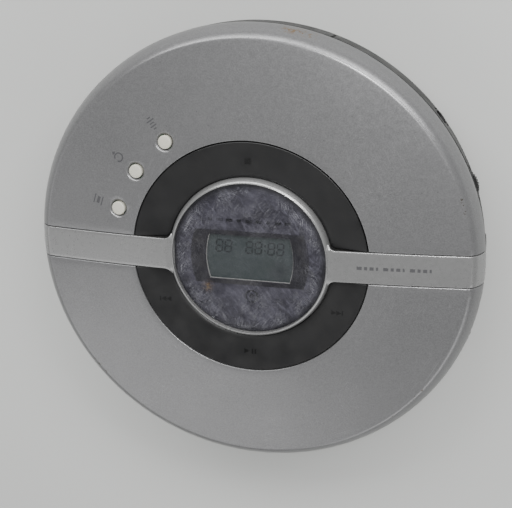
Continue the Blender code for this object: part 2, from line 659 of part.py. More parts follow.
def display():
    frame = box("lcd_frame", (-15.5, -8.6, 24.0), (15.5, 8.6, 25.2), "bezel")
    cut(frame, box("lcd_seat", (-14.3, -7.6, 20), (14.3, 7.6, 30)))
    panel = box("lcd_panel", (-14.0, -7.3, 24.0), (14.0, 7.3, 25.15), "lcd")
    low, high = BOARD_Z
    board = rod("lid_board", (0, 0, low), (0, 0, high), BOARD_R, "board", steps=32)
    join(board, box("board_tab", (30, -15.5, low), (47.5, 15.5, high), turn=BUTTON_ANGLES[1]))
    cover_low, cover_high = PANEL_Z
    cover_profile = [(0.0, cover_high), (PANEL_R, cover_high), (PANEL_R, cover_low), (0.0, cover_low)]
    cover = turned("lid_inner_panel", cover_profile, "deck", closed=False)
    attach(LID_AXIS, frame, panel, board, cover)


def key_ring(name):
    """Dished ring from which each of the two keys is cut."""
    profile = [(KEY_INNER_R, KEY_INNER_Z), (KEY_OUTER_R, KEY_OUTER_Z),
               (KEY_OUTER_R, KEY_OUTER_Z - KEY_THICK), (KEY_INNER_R, KEY_INNER_Z - KEY_THICK)]
    return turned(name, profile, "black", (0, 0, KEY_AXIS_Z))


SWITCH_ANGLES = {"stop": 90, "back": 210, "play": 270, "next": 330}
SWITCH_R = 30.6


def keys():
    keep = BAND_HALF + 0.3
    stop = key_ring("stop_key")
    cut(stop, box("stop_half", (-40, -40, 20), (40, keep, 30)))
    play = key_ring("transport_key")
    cut(play, box("play_half", (-40, -keep, 20), (40, 40, 30)))
    floor = BOARD_Z[1]
    sheet = turned("switch_sheet", [(27.5, floor + 0.12), (33.0, floor + 0.12), (33.0, floor + 0.02),
                                    (27.5, floor + 0.02)], "rubber", steps=24)
    for name, angle in SWITCH_ANGLES.items():
        x, y = polar(SWITCH_R, angle)
        join(sheet, rod("switch_dome_" + name, (x, y, floor + 0.06), (x, y, floor + 0.3), 2.2, steps=12))
    spot = polar(SWITCH_R, SWITCH_ANGLES["stop"])
    join(stop, rod("stop_plunger", (*spot, floor + 0.75), (*spot, 25.4), 1.2, steps=12))
    for name in ("back", "play", "next"):
        spot = polar(SWITCH_R, SWITCH_ANGLES[name])
        join(play, rod("plunger_" + name, (*spot, floor + 0.95), (*spot, 25.2), 1.2, steps=12))
    yoke = key_yoke()
    attach(LID_AXIS, stop, sheet, yoke)
    attach(yoke, play)


def key_yoke():
    """Light frame between the transport key and the lid, which lets the key rock both ways."""
    outer, inner = 34.6, 33.2
    outline = arc(outer, 188, 352, 15) + arc(inner, 352, 188, 15)
    return flat("key_yoke", outline, 24.15, 24.6, "white_gear", (0, -4, KEY_AXIS_Z))


def round_buttons():
    for name, angle in zip(BUTTON_NAMES, BUTTON_ANGLES):
        x, y = polar(BUTTON_PITCH_R, angle)
        top = dome_z(BUTTON_PITCH_R) + 0.25
        profile = [(0.0, top), (BUTTON_R - 0.35, top - 0.08), (BUTTON_R, top - 0.4), (BUTTON_R, 24.35),
                   (BUTTON_R + 0.75, 24.35), (BUTTON_R + 0.75, 24.12), (0.0, 24.12)]
        button = turned(name + "_button", profile, "cream", (x, y, 25), steps=20, closed=False)
        attach(LID_AXIS, button)


def hinge():
    wall = [(68.3, 16.1), (OUTER_R - 0.15, 16.1), (OUTER_R - 0.15, BASE_TOP_Z), (BASE_SIDE_R, BASE_SIDE_Z),
            (68.3, BASE_SIDE_Z)]
    cover = turned("hinge_bracket", wall, "black")
    combine(cover, box("cover_limit", (-COVER_HALF_X, 50, 5), (COVER_HALF_X, 80, 25)), "INTERSECT")
    sweep_r = HINGE_SWEEP_R - GAP
    sweep = rod("cover_sweep", (-30, HINGE_Y, HINGE_Z), (30, HINGE_Y, HINGE_Z), sweep_r, steps=32)
    combine(cover, sweep, "INTERSECT")
    for side in (-1, 1):
        near, far = sorted((side * LID_KNUCKLE_X[0], side * LID_KNUCKLE_X[1]))
        join(cover, box("lid_arm_%d" % side, (near + 0.1, HINGE_Y + 0.4, HINGE_Z - 0.9),
                        (far - 0.1, 68.8, HINGE_Z + 0.9)),
             rod("lid_knuckle_%d" % side, (near, HINGE_Y, HINGE_Z), (far, HINGE_Y, HINGE_Z), KNUCKLE_R))
    cut(cover, rod("lid_bore", (-20, HINGE_Y, HINGE_Z), (20, HINGE_Y, HINGE_Z), HINGE_PIN_R + ROD_PLAY))
    rod("hinge_pin", (-13.6, HINGE_Y, HINGE_Z), (13.6, HINGE_Y, HINGE_Z), HINGE_PIN_R, "steel",
        (0, HINGE_Y, HINGE_Z), steps=16)
    attach(LID_AXIS, cover)


clear_scene()
MATERIALS = {name: make_material(name) for name in COLOURS}
PARTS = new_collection("portable_disc_player")
CUTTERS = new_collection("cutters")
LID_AXIS = axis_point("lid_axis", (0, HINGE_Y, HINGE_Z))
base_shell()
deck()
feet()
base_screws()
battery_bay()
battery_door()
main_board()
jacks()
side_controls()
open_slider()
mechanism_plate()
guide_rods()
spindle()
sled_drive()
sled()
lid_shell()
lid_band()
window()
display()
keys()
round_buttons()
hinge()
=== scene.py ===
"""Looks of the portable disc player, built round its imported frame.

Sizes below are in millimetres and MM turns them into the frame's metres. The player lies flat: lid up
(+Z), rear with the hinge at +Y.
"""
import json
from math import acos, asin, atan2, cos, hypot, pi, radians, sin

import bmesh
import bpy
from mathutils import Matrix, Vector


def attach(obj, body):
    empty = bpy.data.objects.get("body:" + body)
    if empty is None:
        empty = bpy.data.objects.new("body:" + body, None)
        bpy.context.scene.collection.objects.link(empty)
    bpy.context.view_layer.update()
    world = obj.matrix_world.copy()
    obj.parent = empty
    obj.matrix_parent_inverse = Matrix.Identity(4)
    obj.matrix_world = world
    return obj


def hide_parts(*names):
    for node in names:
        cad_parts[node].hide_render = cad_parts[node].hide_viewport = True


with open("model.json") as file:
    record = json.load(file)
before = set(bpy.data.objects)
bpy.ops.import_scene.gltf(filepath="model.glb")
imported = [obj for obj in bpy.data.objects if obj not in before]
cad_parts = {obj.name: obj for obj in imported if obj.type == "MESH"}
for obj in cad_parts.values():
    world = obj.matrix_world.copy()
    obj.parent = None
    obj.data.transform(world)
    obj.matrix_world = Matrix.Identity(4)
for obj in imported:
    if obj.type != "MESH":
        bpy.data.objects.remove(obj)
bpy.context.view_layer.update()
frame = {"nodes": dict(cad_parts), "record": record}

MM = 0.001

# ---- driving dimensions (millimetres) ----
OUTER_R = 69.9
HEIGHT = 27.9
RIDGE_R = 66.24
DOME_DROP = 4.31
DOME_R = 66.0
LID_EDGE_Z = 16.4
LID_WALL = 1.2
RIM_START = radians(25)
BAND_HALF = 4.88
SEAM = 0.25               # gap between the band and the lid, and round the keys
CHANNEL_DEPTH = 0.85
RING_OUTER_R = 25.3
RING_INNER_R = 23.94
RING_TOP_Z = 27.3
KEY_INNER_R = 25.55
KEY_OUTER_R = 36.5
KEY_INNER_Z = 25.3
KEY_OUTER_Z = 26.5
HOLE_R = 36.85
FILLET = 2.05             # rounding where the band meets the ring
BUTTON_R = 2.1
BUTTON_PITCH_R = 43.3
BUTTON_ANGLES = {"sound": 126, "mode": 144, "display": 162}
BASE_BOTTOM_Z = 1.0
BASE_FLOOR_Z = 2.4
BASE_TOP_Z = 14.9
BASE_FLAT_R = 62.0
BASE_SIDE_R = 69.0
BASE_SIDE_Z = 8.0
BASE_WALL = 1.6
HINGE_Y = 65.2
HINGE_Z = 14.6
HINGE_PIN_R = 0.8
HINGE_SWEEP_R = 5.75
KNUCKLE_R = 1.5
COVER_HALF_X = 22.4
WELL_HALF_X = 23.0
WELL_FRONT_Y = 59.6
CELL_BAY_X = (-50.5, -20.5)
DOOR_AXIS_X = -51.6
DECK_FLOOR_Z = 17.9
DECK_RIM_Z = 20.6
WELL_R = 61.6
DISC_SEAT_Z = 19.5
TURNTABLE_R = 13.5
LENS_Y = -24.0
PHONE_ANGLE = 4
POWER_ANGLE = 38
WHEEL_ANGLE = 20
HOLD_ANGLE = -22
STEPS = 192
SHARP_ANGLE = radians(32)
SIGN_R = 30.6             # the transport signs, and the switches under them
DISPLAY_OPENING = (13.65, 7.2, 1.1)
JACK_Z = 9.5
RIDGE_ROUND = 0.55
PRINT_THICK = 0.03
TIP_DROP = 0.8            # how far the flared corners of an arm sink along the ring's flank

# ---- camera ----
CAMERA_AT = (87.70, 127.17, 356.66)
CAMERA_TURN = (-20.388, 14.257, -0.751)
CAMERA_LENS = 84.88
CAMERA_SHIFT = (0.0009, 0.0016)


def add_camera():
    data = bpy.data.cameras.new("camera")
    data.lens = CAMERA_LENS
    data.sensor_width = 36.0
    data.shift_x, data.shift_y = CAMERA_SHIFT
    camera = bpy.data.objects.new("camera", data)
    camera.location = Vector(CAMERA_AT) * MM
    camera.rotation_euler = [radians(turn) for turn in CAMERA_TURN]
    bpy.context.scene.collection.objects.link(camera)
    bpy.context.scene.camera = camera


add_camera()


# ---- material helpers ----
class Paint:
    """A Principled material and short calls for the nodes that vary it."""

    def __init__(self, name, colour, roughness, metallic=0.0, **sockets):
        self.mat = bpy.data.materials.new(name)
        self.mat.use_nodes = True
        self.nodes = self.mat.node_tree.nodes
        self.links = self.mat.node_tree.links
        self.shader = self.nodes["Principled BSDF"]
        self.shader.inputs["Base Color"].default_value = (*colour, 1.0)
        self.shader.inputs["Roughness"].default_value = roughness
        self.shader.inputs["Metallic"].default_value = metallic
        for socket, value in sockets.items():
            self.shader.inputs[socket.replace("_", " ")].default_value = value
        self.coords = self.nodes.new("ShaderNodeTexCoord").outputs["Object"]

    def node(self, kind, inputs, operation=None):
        """Add a node whose inputs are numbers, tuples or the outputs of other nodes."""
        node = self.nodes.new("ShaderNode" + kind)
        if operation:
            node.operation = operation
        for socket, value in inputs.items():
            if isinstance(value, bpy.types.NodeSocket):
                self.links.new(value, node.inputs[socket])
            else:
                node.inputs[socket].default_value = value
        return node

    def noise(self, size, detail=2.0, stretch=(1, 1, 1), turn=0.0, rough=0.5):
        """Noise whose grains are size mm across, turned about Z and then stretched."""
        turner = self.node("VectorRotate", {"Vector": self.coords, "Angle": radians(turn)})
        turner.rotation_type = "Z_AXIS"
        shift = (turn * 0.013, size * 0.1, 0)
        scaler = self.node("VectorMath", {0: turner.outputs["Vector"], 1: stretch, 2: shift},
                           "MULTIPLY_ADD")
        settings = {"Scale": 1.0 / (size * MM), "Detail": detail, "Roughness": rough}
        return self.node("TexNoise", {"Vector": scaler.outputs["Vector"], **settings}).outputs["Fac"]

    def spots(self, size):
        cells = self.node("TexVoronoi", {"Vector": self.coords, "Scale": 1.0 / (size * MM)})
        return cells.outputs["Distance"]

    def fit(self, value, low, high, to_low=0.0, to_high=1.0):
        """Map a value from one range to another, clamped."""
        ends = {"From Min": low, "From Max": high, "To Min": to_low, "To Max": to_high}
        ranger = self.node("MapRange", {"Value": value, **ends})
        ranger.clamp = True
        return ranger.outputs["Result"]

    def math(self, operation, a, b):
        node = self.node("Math", {0: a, 1: b}, operation)
        node.use_clamp = True
        return node.outputs["Value"]

    def size_of(self, value):
        return self.node("Math", {0: value}, "ABSOLUTE").outputs["Value"]

    def near_radius(self, radius, width):
        """1 at a radius from the player's axis, falling to 0 at width mm from it."""
        flat = self.node("VectorMath", {0: self.coords, 1: (10, 10, 0)}, "MULTIPLY")
        length = self.node("VectorMath", {0: flat.outputs["Vector"]}, "LENGTH")
        away = self.node("Math", {0: length.outputs["Value"], 1: radius / 100}, "SUBTRACT")
        return self.fit(self.size_of(away.outputs["Value"]), 0.0, width / 100, 1.0, 0.0)

    def near_point(self, x, y, width):
        """1 at a point of the lid, falling to 0 at width mm from it."""
        shift = self.node("VectorMath", {0: self.coords, 1: (x * MM, y * MM, 0)}, "SUBTRACT")
        flat = self.node("VectorMath", {0: shift.outputs["Vector"], 1: (1000, 1000, 0)}, "MULTIPLY")
        length = self.node("VectorMath", {0: flat.outputs["Vector"]}, "LENGTH")
        return self.fit(length.outputs["Value"], 0.0, width, 1.0, 0.0)

    def outside_box(self, half_x, half_y, width):
        """0 inside a rectangle about the middle, rising to 1 at width mm outside it."""
        split = self.node("SeparateXYZ", {"Vector": self.coords})
        away = [self.fit(self.size_of(split.outputs[axis]), half * MM, (half + width) * MM)
                for axis, half in (("X", half_x), ("Y", half_y))]
        return self.math("MAXIMUM", *away)

    def blend_colour(self, factor, colour):
        """Lay a colour over what the surface has so far, by factor."""
        mix = self.nodes.new("ShaderNodeMix")
        mix.data_type = "RGBA"
        socket = self.shader.inputs["Base Color"]
        if socket.links:
            self.links.new(socket.links[0].from_socket, mix.inputs["A"])
        else:
            mix.inputs["A"].default_value = socket.default_value
        mix.inputs["B"].default_value = (*colour, 1.0)
        self.links.new(factor, mix.inputs["Factor"])
        self.links.new(mix.outputs["Result"], socket)

    def vary(self, socket, value):
        self.links.new(value, self.shader.inputs[socket])

    def bump(self, height, depth, strength=1.0):
        """Relief of depth mm."""
        bump = self.node("Bump", {"Height": height, "Distance": depth * MM, "Strength": strength})
        self.links.new(bump.outputs["Normal"], self.shader.inputs["Normal"])

    def scratches(self, angles, length, width, low, high, gather=0.5):
        """Mask of fine straight marks at several angles, gathered in patches."""
        marks = None
        for turn in angles:
            line = self.fit(self.noise(width, 0.0, (width / length, 1, 1), turn), low, high)
            patch = self.fit(self.noise(length * 1.7, 1.0, turn=turn + 40), gather, gather + 0.08)
            line = self.math("MULTIPLY", line, patch)
            marks = line if marks is None else self.math("MAXIMUM", marks, line)
        return marks


def tint(colour, factor):
    return tuple(min(1.0, c * factor) for c in colour)


def silver(name, colour, roughness, metallic, chips, grain=1.0):
    """Metallic paint on plastic: fine flake, light scratches, dirt specks and worn chips on the ridge."""
    paint = Paint(name, colour, roughness, metallic)
    flake = paint.fit(paint.noise(0.42, 2.0), 0.36, 0.64)
    paint.blend_colour(flake, tint(colour, 1.0 - 0.20 * grain))
    clouds = paint.fit(paint.noise(26, 3.0), 0.3, 0.7)
    paint.blend_colour(paint.math("MULTIPLY", clouds, 0.3), tint(colour, 1.08))
    marks = paint.scratches((12, 64, 118, 155), 14.0, 0.09, 0.71, 0.77, 0.56)
    paint.blend_colour(paint.math("MULTIPLY", marks, 0.6), tint(colour, 1.55))
    specks = paint.fit(paint.noise(0.6, 1.0), 0.75, 0.78)
    paint.blend_colour(paint.math("MULTIPLY", specks, 0.6 if chips else 0.15), tint(colour, 0.40))
    paint.vary("Roughness", paint.fit(paint.noise(1.4, 4.0), 0.3, 0.7, roughness - 0.02, roughness + 0.04))
    paint.bump(paint.noise(0.42, 2.0), 0.012 * grain, 0.4)
    if chips:
        worn = paint.near_radius(RIDGE_R + 0.1, 0.8)
        bits = paint.fit(paint.noise(0.8, 3.0), 0.62, 0.65)
        rare = paint.fit(paint.noise(11, 2.0), 0.57, 0.61)
        chip = paint.math("MULTIPLY", paint.math("MULTIPLY", worn, bits), rare)
        paint.blend_colour(chip, (0.055, 0.045, 0.032))
        edge = paint.near_radius(RIDGE_R + 3.0, 0.8)
        rust = paint.math("MULTIPLY", edge, paint.fit(paint.noise(1.1, 3.0), 0.50, 0.58))
        spot = paint.near_point(14.0, 67.5, 6.0)
        paint.blend_colour(paint.math("MULTIPLY", rust, paint.fit(spot, 0.0, 0.4)), (0.16, 0.105, 0.055))
    return paint.mat


def plastic(name, colour, roughness, grain=0.35, relief=0.03, dust=0.12, gloss=0.5):
    """Moulded plastic: fine spark-eroded grain, dust in it, and shinier rubbed patches."""
    paint = Paint(name, colour, roughness, Specular_IOR_Level=gloss)
    grit = paint.noise(grain, 3.0)
    haze = paint.fit(paint.noise(6, 4.0), 0.45, 0.75)
    paint.blend_colour(paint.math("MULTIPLY", haze, dust), (0.16, 0.155, 0.145))
    paint.vary("Roughness", paint.fit(paint.noise(9, 3.0), 0.3, 0.7, roughness - 0.08, roughness + 0.08))
    paint.bump(grit, relief, 0.6)
    marks = paint.scratches((33, 100), 7.0, 0.07, 0.74, 0.80, 0.55)
    paint.blend_colour(paint.math("MULTIPLY", marks, dust * 3), tint(colour, 3.0))
    return paint.mat


def metal(name, colour, roughness, brushed=0.0):
    """Plated or drawn metal with draw lines and stains."""
    paint = Paint(name, colour, roughness, 1.0)
    lines = paint.noise(0.12, 2.0, (0.04, 1, 1), brushed)
    paint.vary("Roughness", paint.fit(lines, 0.3, 0.7, roughness - 0.06, roughness + 0.12))
    paint.blend_colour(paint.fit(paint.noise(5, 4.0), 0.5, 0.8, 0.0, 0.5), tint(colour, 0.75))
    paint.bump(lines, 0.008, 0.4)
    return paint.mat


def board_paint(name):
    """Green circuit board: copper tracks under the mask, and pads."""
    paint = Paint(name, (0.015, 0.13, 0.05), 0.38)
    tracks = paint.fit(paint.spots(2.6), 0.20, 0.24)
    paint.blend_colour(paint.math("MULTIPLY", tracks, 0.6), (0.03, 0.20, 0.08))
    pads = paint.fit(paint.noise(1.1, 0.0), 0.70, 0.72)
    paint.blend_colour(pads, (0.55, 0.52, 0.40))
    paint.vary("Roughness", paint.fit(paint.noise(3, 3.0), 0.3, 0.7, 0.3, 0.5))
    paint.bump(tracks, 0.03, 0.5)
    return paint.mat


def window_paint():
    """Tinted window, hazed by fine scratches, with a small brown stain, kept clear next to the ring so the
    painted shade on the card below shows.
    """
    paint = Paint("window_tint", (0.016, 0.015, 0.024), 0.22, 0.0, Coat_Weight=0.12, Coat_Roughness=0.2)
    web = paint.scratches((8, 37, 71, 102, 139, 163), 2.2, 0.14, 0.60, 0.72, 0.52)
    fine = paint.scratches((22, 55, 88, 127), 5.0, 0.07, 0.66, 0.74, 0.52)
    cloud = paint.fit(paint.noise(6.5, 4.0, rough=0.6), 0.44, 0.68)
    paint.blend_colour(paint.math("MULTIPLY", cloud, 0.8), (0.080, 0.077, 0.100))
    paint.blend_colour(paint.math("MULTIPLY", web, 0.8), (0.15, 0.148, 0.18))
    paint.blend_colour(paint.math("MULTIPLY", fine, 0.9), (0.30, 0.30, 0.32))
    stain = paint.math("MULTIPLY", paint.near_point(-13.0, -9.5, 2.6),
                       paint.fit(paint.noise(0.9, 3.0), 0.35, 0.6))
    paint.blend_colour(stain, (0.085, 0.056, 0.026))
    rim = paint.near_radius(RING_INNER_R, 6.0)
    strength = paint.fit(rim, 0.0, 1.0, 0.35, 0.8)
    # painted shade: haze and marks fade out within 2.6 mm of the ring, so the dark painted shade on the
    # card shows through there
    clear_for_rim_shade = paint.fit(paint.near_radius(RING_INNER_R, 2.6), 0.0, 0.7, 1.0, 0.0)
    strength = paint.math("MULTIPLY", strength, clear_for_rim_shade)
    marks = paint.math("MULTIPLY", paint.math("MAXIMUM", paint.math("MULTIPLY", web, 0.6), fine), strength)
    outside = paint.outside_box(16.5, 8.0, 3.0)
    haze = paint.math("MULTIPLY", paint.fit(cloud, 0.0, 1.0, 0.03, 0.30),
                      paint.fit(outside, 0.0, 1.0, 0.15, 1.0))
    marks = paint.math("MULTIPLY", marks, paint.fit(outside, 0.0, 1.0, 0.3, 1.0))
    haze = paint.math("MULTIPLY", haze, clear_for_rim_shade)
    paint.vary("Alpha", paint.math("MAXIMUM", paint.math("MAXIMUM", haze, marks), stain))
    paint.vary("Roughness", paint.fit(cloud, 0.0, 1.0, 0.18, 0.4))
    return paint.mat


def card_paint():
    """Printed card behind the window: dark violet-grey, mottled where the window's underside is rubbed, and
    darkened within 4 mm of the ring by painted shade.
    """
    paint = Paint("mask_dark", (0.013, 0.012, 0.018), 0.5)
    cloud = paint.fit(paint.noise(7.0, 4.0, rough=0.6), 0.42, 0.66)
    paint.blend_colour(cloud, (0.036, 0.034, 0.047))
    streaks = paint.fit(paint.noise(0.9, 3.0, (0.25, 1, 1), 52.0), 0.54, 0.72)
    paint.blend_colour(paint.math("MULTIPLY", streaks, 0.5), (0.095, 0.092, 0.118))
    # painted shade: the card is blended towards near-black within 4 mm of the ring, standing in for the
    # shadow the ring casts
    rim = paint.near_radius(RING_INNER_R, 4.0)
    paint.blend_colour(paint.math("MULTIPLY", rim, 0.85), (0.004, 0.004, 0.006))
    paint.vary("Roughness", paint.fit(cloud, 0.0, 1.0, 0.42, 0.6))
    return paint.mat


def lcd_paint():
    """Liquid-crystal glass: grey-green, a little uneven, with a darker corner."""
    paint = Paint("lcd_grey", (0.023, 0.029, 0.030), 0.32, 0.0, Coat_Weight=0.2, Coat_Roughness=0.1)
    paint.blend_colour(paint.fit(paint.noise(7, 2.0), 0.4, 0.7, 0.0, 0.6), (0.031, 0.037, 0.037))
    dark = paint.fit(paint.near_point(9.6, -3.8, 4.5), 0.0, 1.0, 0.0, 0.75)
    paint.blend_colour(dark, (0.014, 0.016, 0.018))
    paint.vary("Roughness", paint.fit(paint.noise(1.5, 2.0), 0.3, 0.7, 0.28, 0.4))
    return paint.mat


def glass_paint(name, colour):
    paint = Paint(name, colour, 0.06, 0.0, Coat_Weight=1.0, Coat_Roughness=0.02)
    paint.blend_colour(paint.fit(paint.noise(0.9, 2.0), 0.4, 0.7), tint(colour, 1.6))
    paint.vary("Roughness", paint.fit(paint.noise(0.3, 2.0), 0.3, 0.7, 0.04, 0.12))
    return paint.mat


MATERIALS = {
    "lid_silver": silver("lid_silver", (0.185, 0.185, 0.188), 0.31, 0.55, True),
    "band_silver": silver("band_silver", (0.265, 0.265, 0.265), 0.28, 0.62, False, 0.35),
    "base_black": plastic("base_black", (0.0075, 0.0078, 0.0078), 0.45, gloss=0.35),
    "deck_black": plastic("deck_black", (0.012, 0.012, 0.013), 0.50, 0.5, 0.04, 0.05),
    "key_black": plastic("key_black", (0.0072, 0.0072, 0.0075), 0.42, 0.2, 0.015, 0.02, 0.4),
    "button_cream": plastic("button_cream", (0.43, 0.42, 0.36), 0.38, 0.3, 0.01, 0.0),
    "foot_rubber": plastic("foot_rubber", (0.012, 0.012, 0.012), 0.75, 0.6, 0.06, 0.25),
    "spring_steel": metal("spring_steel", (0.50, 0.50, 0.49), 0.26),
    "board_green": board_paint("board_green"),
    "chip_black": plastic("chip_black", (0.012, 0.012, 0.012), 0.5, 0.25, 0.02, 0.0),
    "window_tint": window_paint(),
    "mask_dark": card_paint(),
    "lcd_grey": lcd_paint(),
    "bezel_grey": plastic("bezel_grey", (0.16, 0.16, 0.155), 0.3, 0.3, 0.01, 0.0),
    "gear_white": plastic("gear_white", (0.50, 0.49, 0.45), 0.40, 0.3, 0.01, 0.03),
    "chassis_zinc": metal("chassis_zinc", (0.36, 0.36, 0.35), 0.42, 30.0),
    "lens_blue": glass_paint("lens_blue", (0.03, 0.04, 0.16)),
    "print_grey": plastic("print_grey", (0.0012, 0.0012, 0.0013), 0.35, 0.3, 0.01, 0.0),
    "print_dark": plastic("print_dark", (0.045, 0.045, 0.048), 0.5, 0.3, 0.01, 0.05),
    "surround_black": plastic("surround_black", (0.007, 0.0065, 0.009), 0.4, 0.3, 0.01, 0.10),
    "segment_dark": plastic("segment_dark", (0.010, 0.012, 0.013), 0.4, 0.4, 0.005, 0.0),
}


# ---- geometry helpers ----
def finish_mesh(name, bm, material, body, nodes=(), matrix=None):
    """Make the bmesh a shown piece that rides on a body and stands for CAD nodes."""
    bmesh.ops.remove_doubles(bm, verts=bm.verts, dist=0.0000005)
    bmesh.ops.recalc_face_normals(bm, faces=bm.faces)
    mesh = bpy.data.meshes.new(name)
    bm.to_mesh(mesh)
    bm.free()
    if matrix is not None:
        mesh.transform(matrix)
    mesh.shade_smooth()
    mesh.set_sharp_from_angle(angle=SHARP_ANGLE)
    obj = bpy.data.objects.new(name, mesh)
    bpy.context.scene.collection.objects.link(obj)
    if material is not None:
        mesh.materials.append(MATERIALS[material])
        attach(obj, body)
    if nodes:
        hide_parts(*nodes)
    return obj


def skin_loops(bm, loops, wrap):
    """Join rings of points; with wrap the last ring meets the first, else both ends are capped."""
    rings = [[bm.verts.new(Vector(point) * MM) for point in loop] for loop in loops]
    count = len(rings[0])
    pairs = list(zip(rings, rings[1:]))
    if wrap:
        pairs.append((rings[-1], rings[0]))
    for near, far in pairs:
        for i in range(count):
            j = (i + 1) % count
            bm.faces.new((near[i], near[j], far[j], far[i]))
    if not wrap:
        for ring in (rings[0], rings[-1]):
            spread = max((v.co - ring[0].co).length for v in ring)
            if spread > 0.000001:
                bm.faces.new(ring)


def rounded(points, radius, closed=True, segments=4):
    """Round the corners of an outline. A point may carry its own radius as a third number."""
    result = []
    count = len(points)
    for i, point in enumerate(points):
        here = Vector(point[:2])
        if not closed and i in (0, count - 1):
            result.append(tuple(here))
            continue
        size = point[2] if len(point) > 2 else radius
        before = Vector(points[i - 1][:2]) - here
        after = Vector(points[(i + 1) % count][:2]) - here
        first = here + before.normalized() * min(size, before.length * 0.48)
        last = here + after.normalized() * min(size, after.length * 0.48)
        for k in range(segments + 1):
            t = k / segments
            result.append(tuple((1 - t) ** 2 * first + 2 * t * (1 - t) * here + t ** 2 * last))
    return result


def polar(radius, angle):
    return radius * cos(radians(angle)), radius * sin(radians(angle))


def turned(name, profile, material, body, nodes=(), centre=(0, 0), steps=STEPS, matrix=None, closed=True):
    """Turn a profile of (radius, height) about the vertical axis through centre."""
    loops = []
    for r, z in profile:
        loops.append([(centre[0] + r * cos(2 * pi * i / steps), centre[1] + r * sin(2 * pi * i / steps), z)
                      for i in range(steps)])
    bm = bmesh.new()
    skin_loops(bm, loops, closed)
    return finish_mesh(name, bm, material, body, nodes, matrix)


def towards(start, end):
    """Matrix that lays the Z axis from start to end (mm)."""
    start, end = Vector(start) * MM, Vector(end) * MM
    return Matrix.Translation(start) @ (end - start).to_track_quat("Z", "Y").to_matrix().to_4x4()


def rod(name, start, end, radius, material, body, nodes=(), edge=0.15, steps=48, turn=0.0):
    """Round bar with softened ends."""
    length = (Vector(end) - Vector(start)).length
    profile = rounded([(0, 0), (radius, 0), (radius, length), (0, length)], edge, closed=False)
    matrix = Matrix.Rotation(radians(turn), 4, "Z") @ towards(start, end)
    return turned(name, profile, material, body, nodes, steps=steps, matrix=matrix, closed=False)


def block(name, low, high, material, body, nodes=(), edge=0.2, turn=0.0):
    """Box with rounded edges."""
    bm = bmesh.new()
    bmesh.ops.create_cube(bm, size=1.0)
    low, high = Vector(low) * MM, Vector(high) * MM
    bmesh.ops.scale(bm, vec=high - low, verts=bm.verts)
    bmesh.ops.translate(bm, vec=(low + high) / 2, verts=bm.verts)
    if edge:
        bmesh.ops.bevel(bm, geom=list(bm.edges), offset=edge * MM, segments=3, profile=0.5, affect="EDGES",
                        clamp_overlap=True)
    return finish_mesh(name, bm, material, body, nodes, Matrix.Rotation(radians(turn), 4, "Z"))


def plate(name, outline, low, high, material, body, nodes=(), matrix=None, edge=0.0):
    """Flat piece with an (x, y) outline between two heights, with softened rims."""
    loops = []
    levels = [(low, edge), (low + edge, 0.0), (high - edge, 0.0), (high, edge)] if edge else [(low, 0),
                                                                                              (high, 0)]
    centre = Vector((sum(p[0] for p in outline), sum(p[1] for p in outline))) / len(outline)
    for z, inset in levels:
        loop = []
        for x, y in outline:
            away = Vector((x, y)) - centre
            moved = centre + away * (1 - inset / max(away.length, inset * 2, 0.001))
            loop.append((moved.x, moved.y, z))
        loops.append(loop)
    bm = bmesh.new()
    skin_loops(bm, loops, False)
    return finish_mesh(name, bm, material, body, nodes, matrix)


def carve(target, *tools, operation="DIFFERENCE"):
    """Cut the tools out of the target, or join them to it, and remove them."""
    for tool in tools:
        step = target.modifiers.new("carve", "BOOLEAN")
        step.operation = operation
        step.solver = "EXACT"
        step.object = tool
    bpy.context.view_layer.update()
    shape = target.evaluated_get(bpy.context.evaluated_depsgraph_get())
    mesh = bpy.data.meshes.new_from_object(shape)
    target.modifiers.clear()
    target.data = mesh
    mesh.shade_smooth()
    mesh.set_sharp_from_angle(angle=SHARP_ANGLE)
    for tool in tools:
        bpy.data.objects.remove(tool, do_unlink=True)


def hole(start, end, radius, steps=48, turn=0.0, edge=0.0):
    """Round cutter; edge flares its start mouth by that chamfer."""
    return rod("cutter", start, end, radius, None, None, edge=edge, steps=steps, turn=turn)


def slab(low, high, turn=0.0, edge=0.0):
    return block("cutter", low, high, None, None, edge=edge, turn=turn)


# ---- lid outline ----
def dome_z(r):
    return HEIGHT - DOME_DROP * (r / DOME_R) ** 2


def dome_line(r_start, r_end, count, drop):
    return [(r_start + (r_end - r_start) * i / (count - 1),
             dome_z(r_start + (r_end - r_start) * i / (count - 1)) - drop) for i in range(count)]


def rim_line(inset, count, bottom=LID_EDGE_Z):
    points = []
    top = dome_z(RIDGE_R) - inset
    for i in range(count):
        t = RIM_START + (pi / 2 - RIM_START) * i / (count - 1)
        r = OUTER_R - inset - (OUTER_R - RIDGE_R) * (1 - sin(t)) / (1 - sin(RIM_START))
        points.append((r, bottom + (top - bottom) * cos(t) / cos(RIM_START)))
    return points


def lid_outline(depth, wall=LID_WALL):
    """Section of the lid with its outer surface lowered by depth, as one closed outline."""
    top = dome_line(HOLE_R, RIDGE_R - depth, 15, depth)[1:-1]
    rim = rim_line(depth, 12)
    outline = [(HOLE_R, dome_z(HOLE_R) - wall, 0.05), (HOLE_R, dome_z(HOLE_R) - depth, 0.3)]
    outline += [(r, z, 0.0) for r, z in top]
    outline += [(*rim[0], RIDGE_ROUND)] + [(r, z, 0.0) for r, z in rim[1:-1]] + [(*rim[-1], 0.35)]
    inner_rim = rim_line(wall, 8)
    outline += [(*inner_rim[-1], 0.2)] + [(r, z, 0.0) for r, z in inner_rim[-2::-1]]
    outline += [(r, z, 0.0) for r, z in dome_line(HOLE_R, RIDGE_R - wall, 6, wall)[-2:0:-1]]
    return outline


def softened(outline):
    """Round only the corners that carry a radius, so that every depth has the same number of points."""
    points = []
    for i, (x, y, radius) in enumerate(outline):
        if radius == 0.0:
            points.append((x, y))
            continue
        trio = [outline[i - 1][:2], (x, y, radius), outline[(i + 1) % len(outline)][:2]]
        points += rounded(trio, radius, closed=False)[1:-1]
    return points


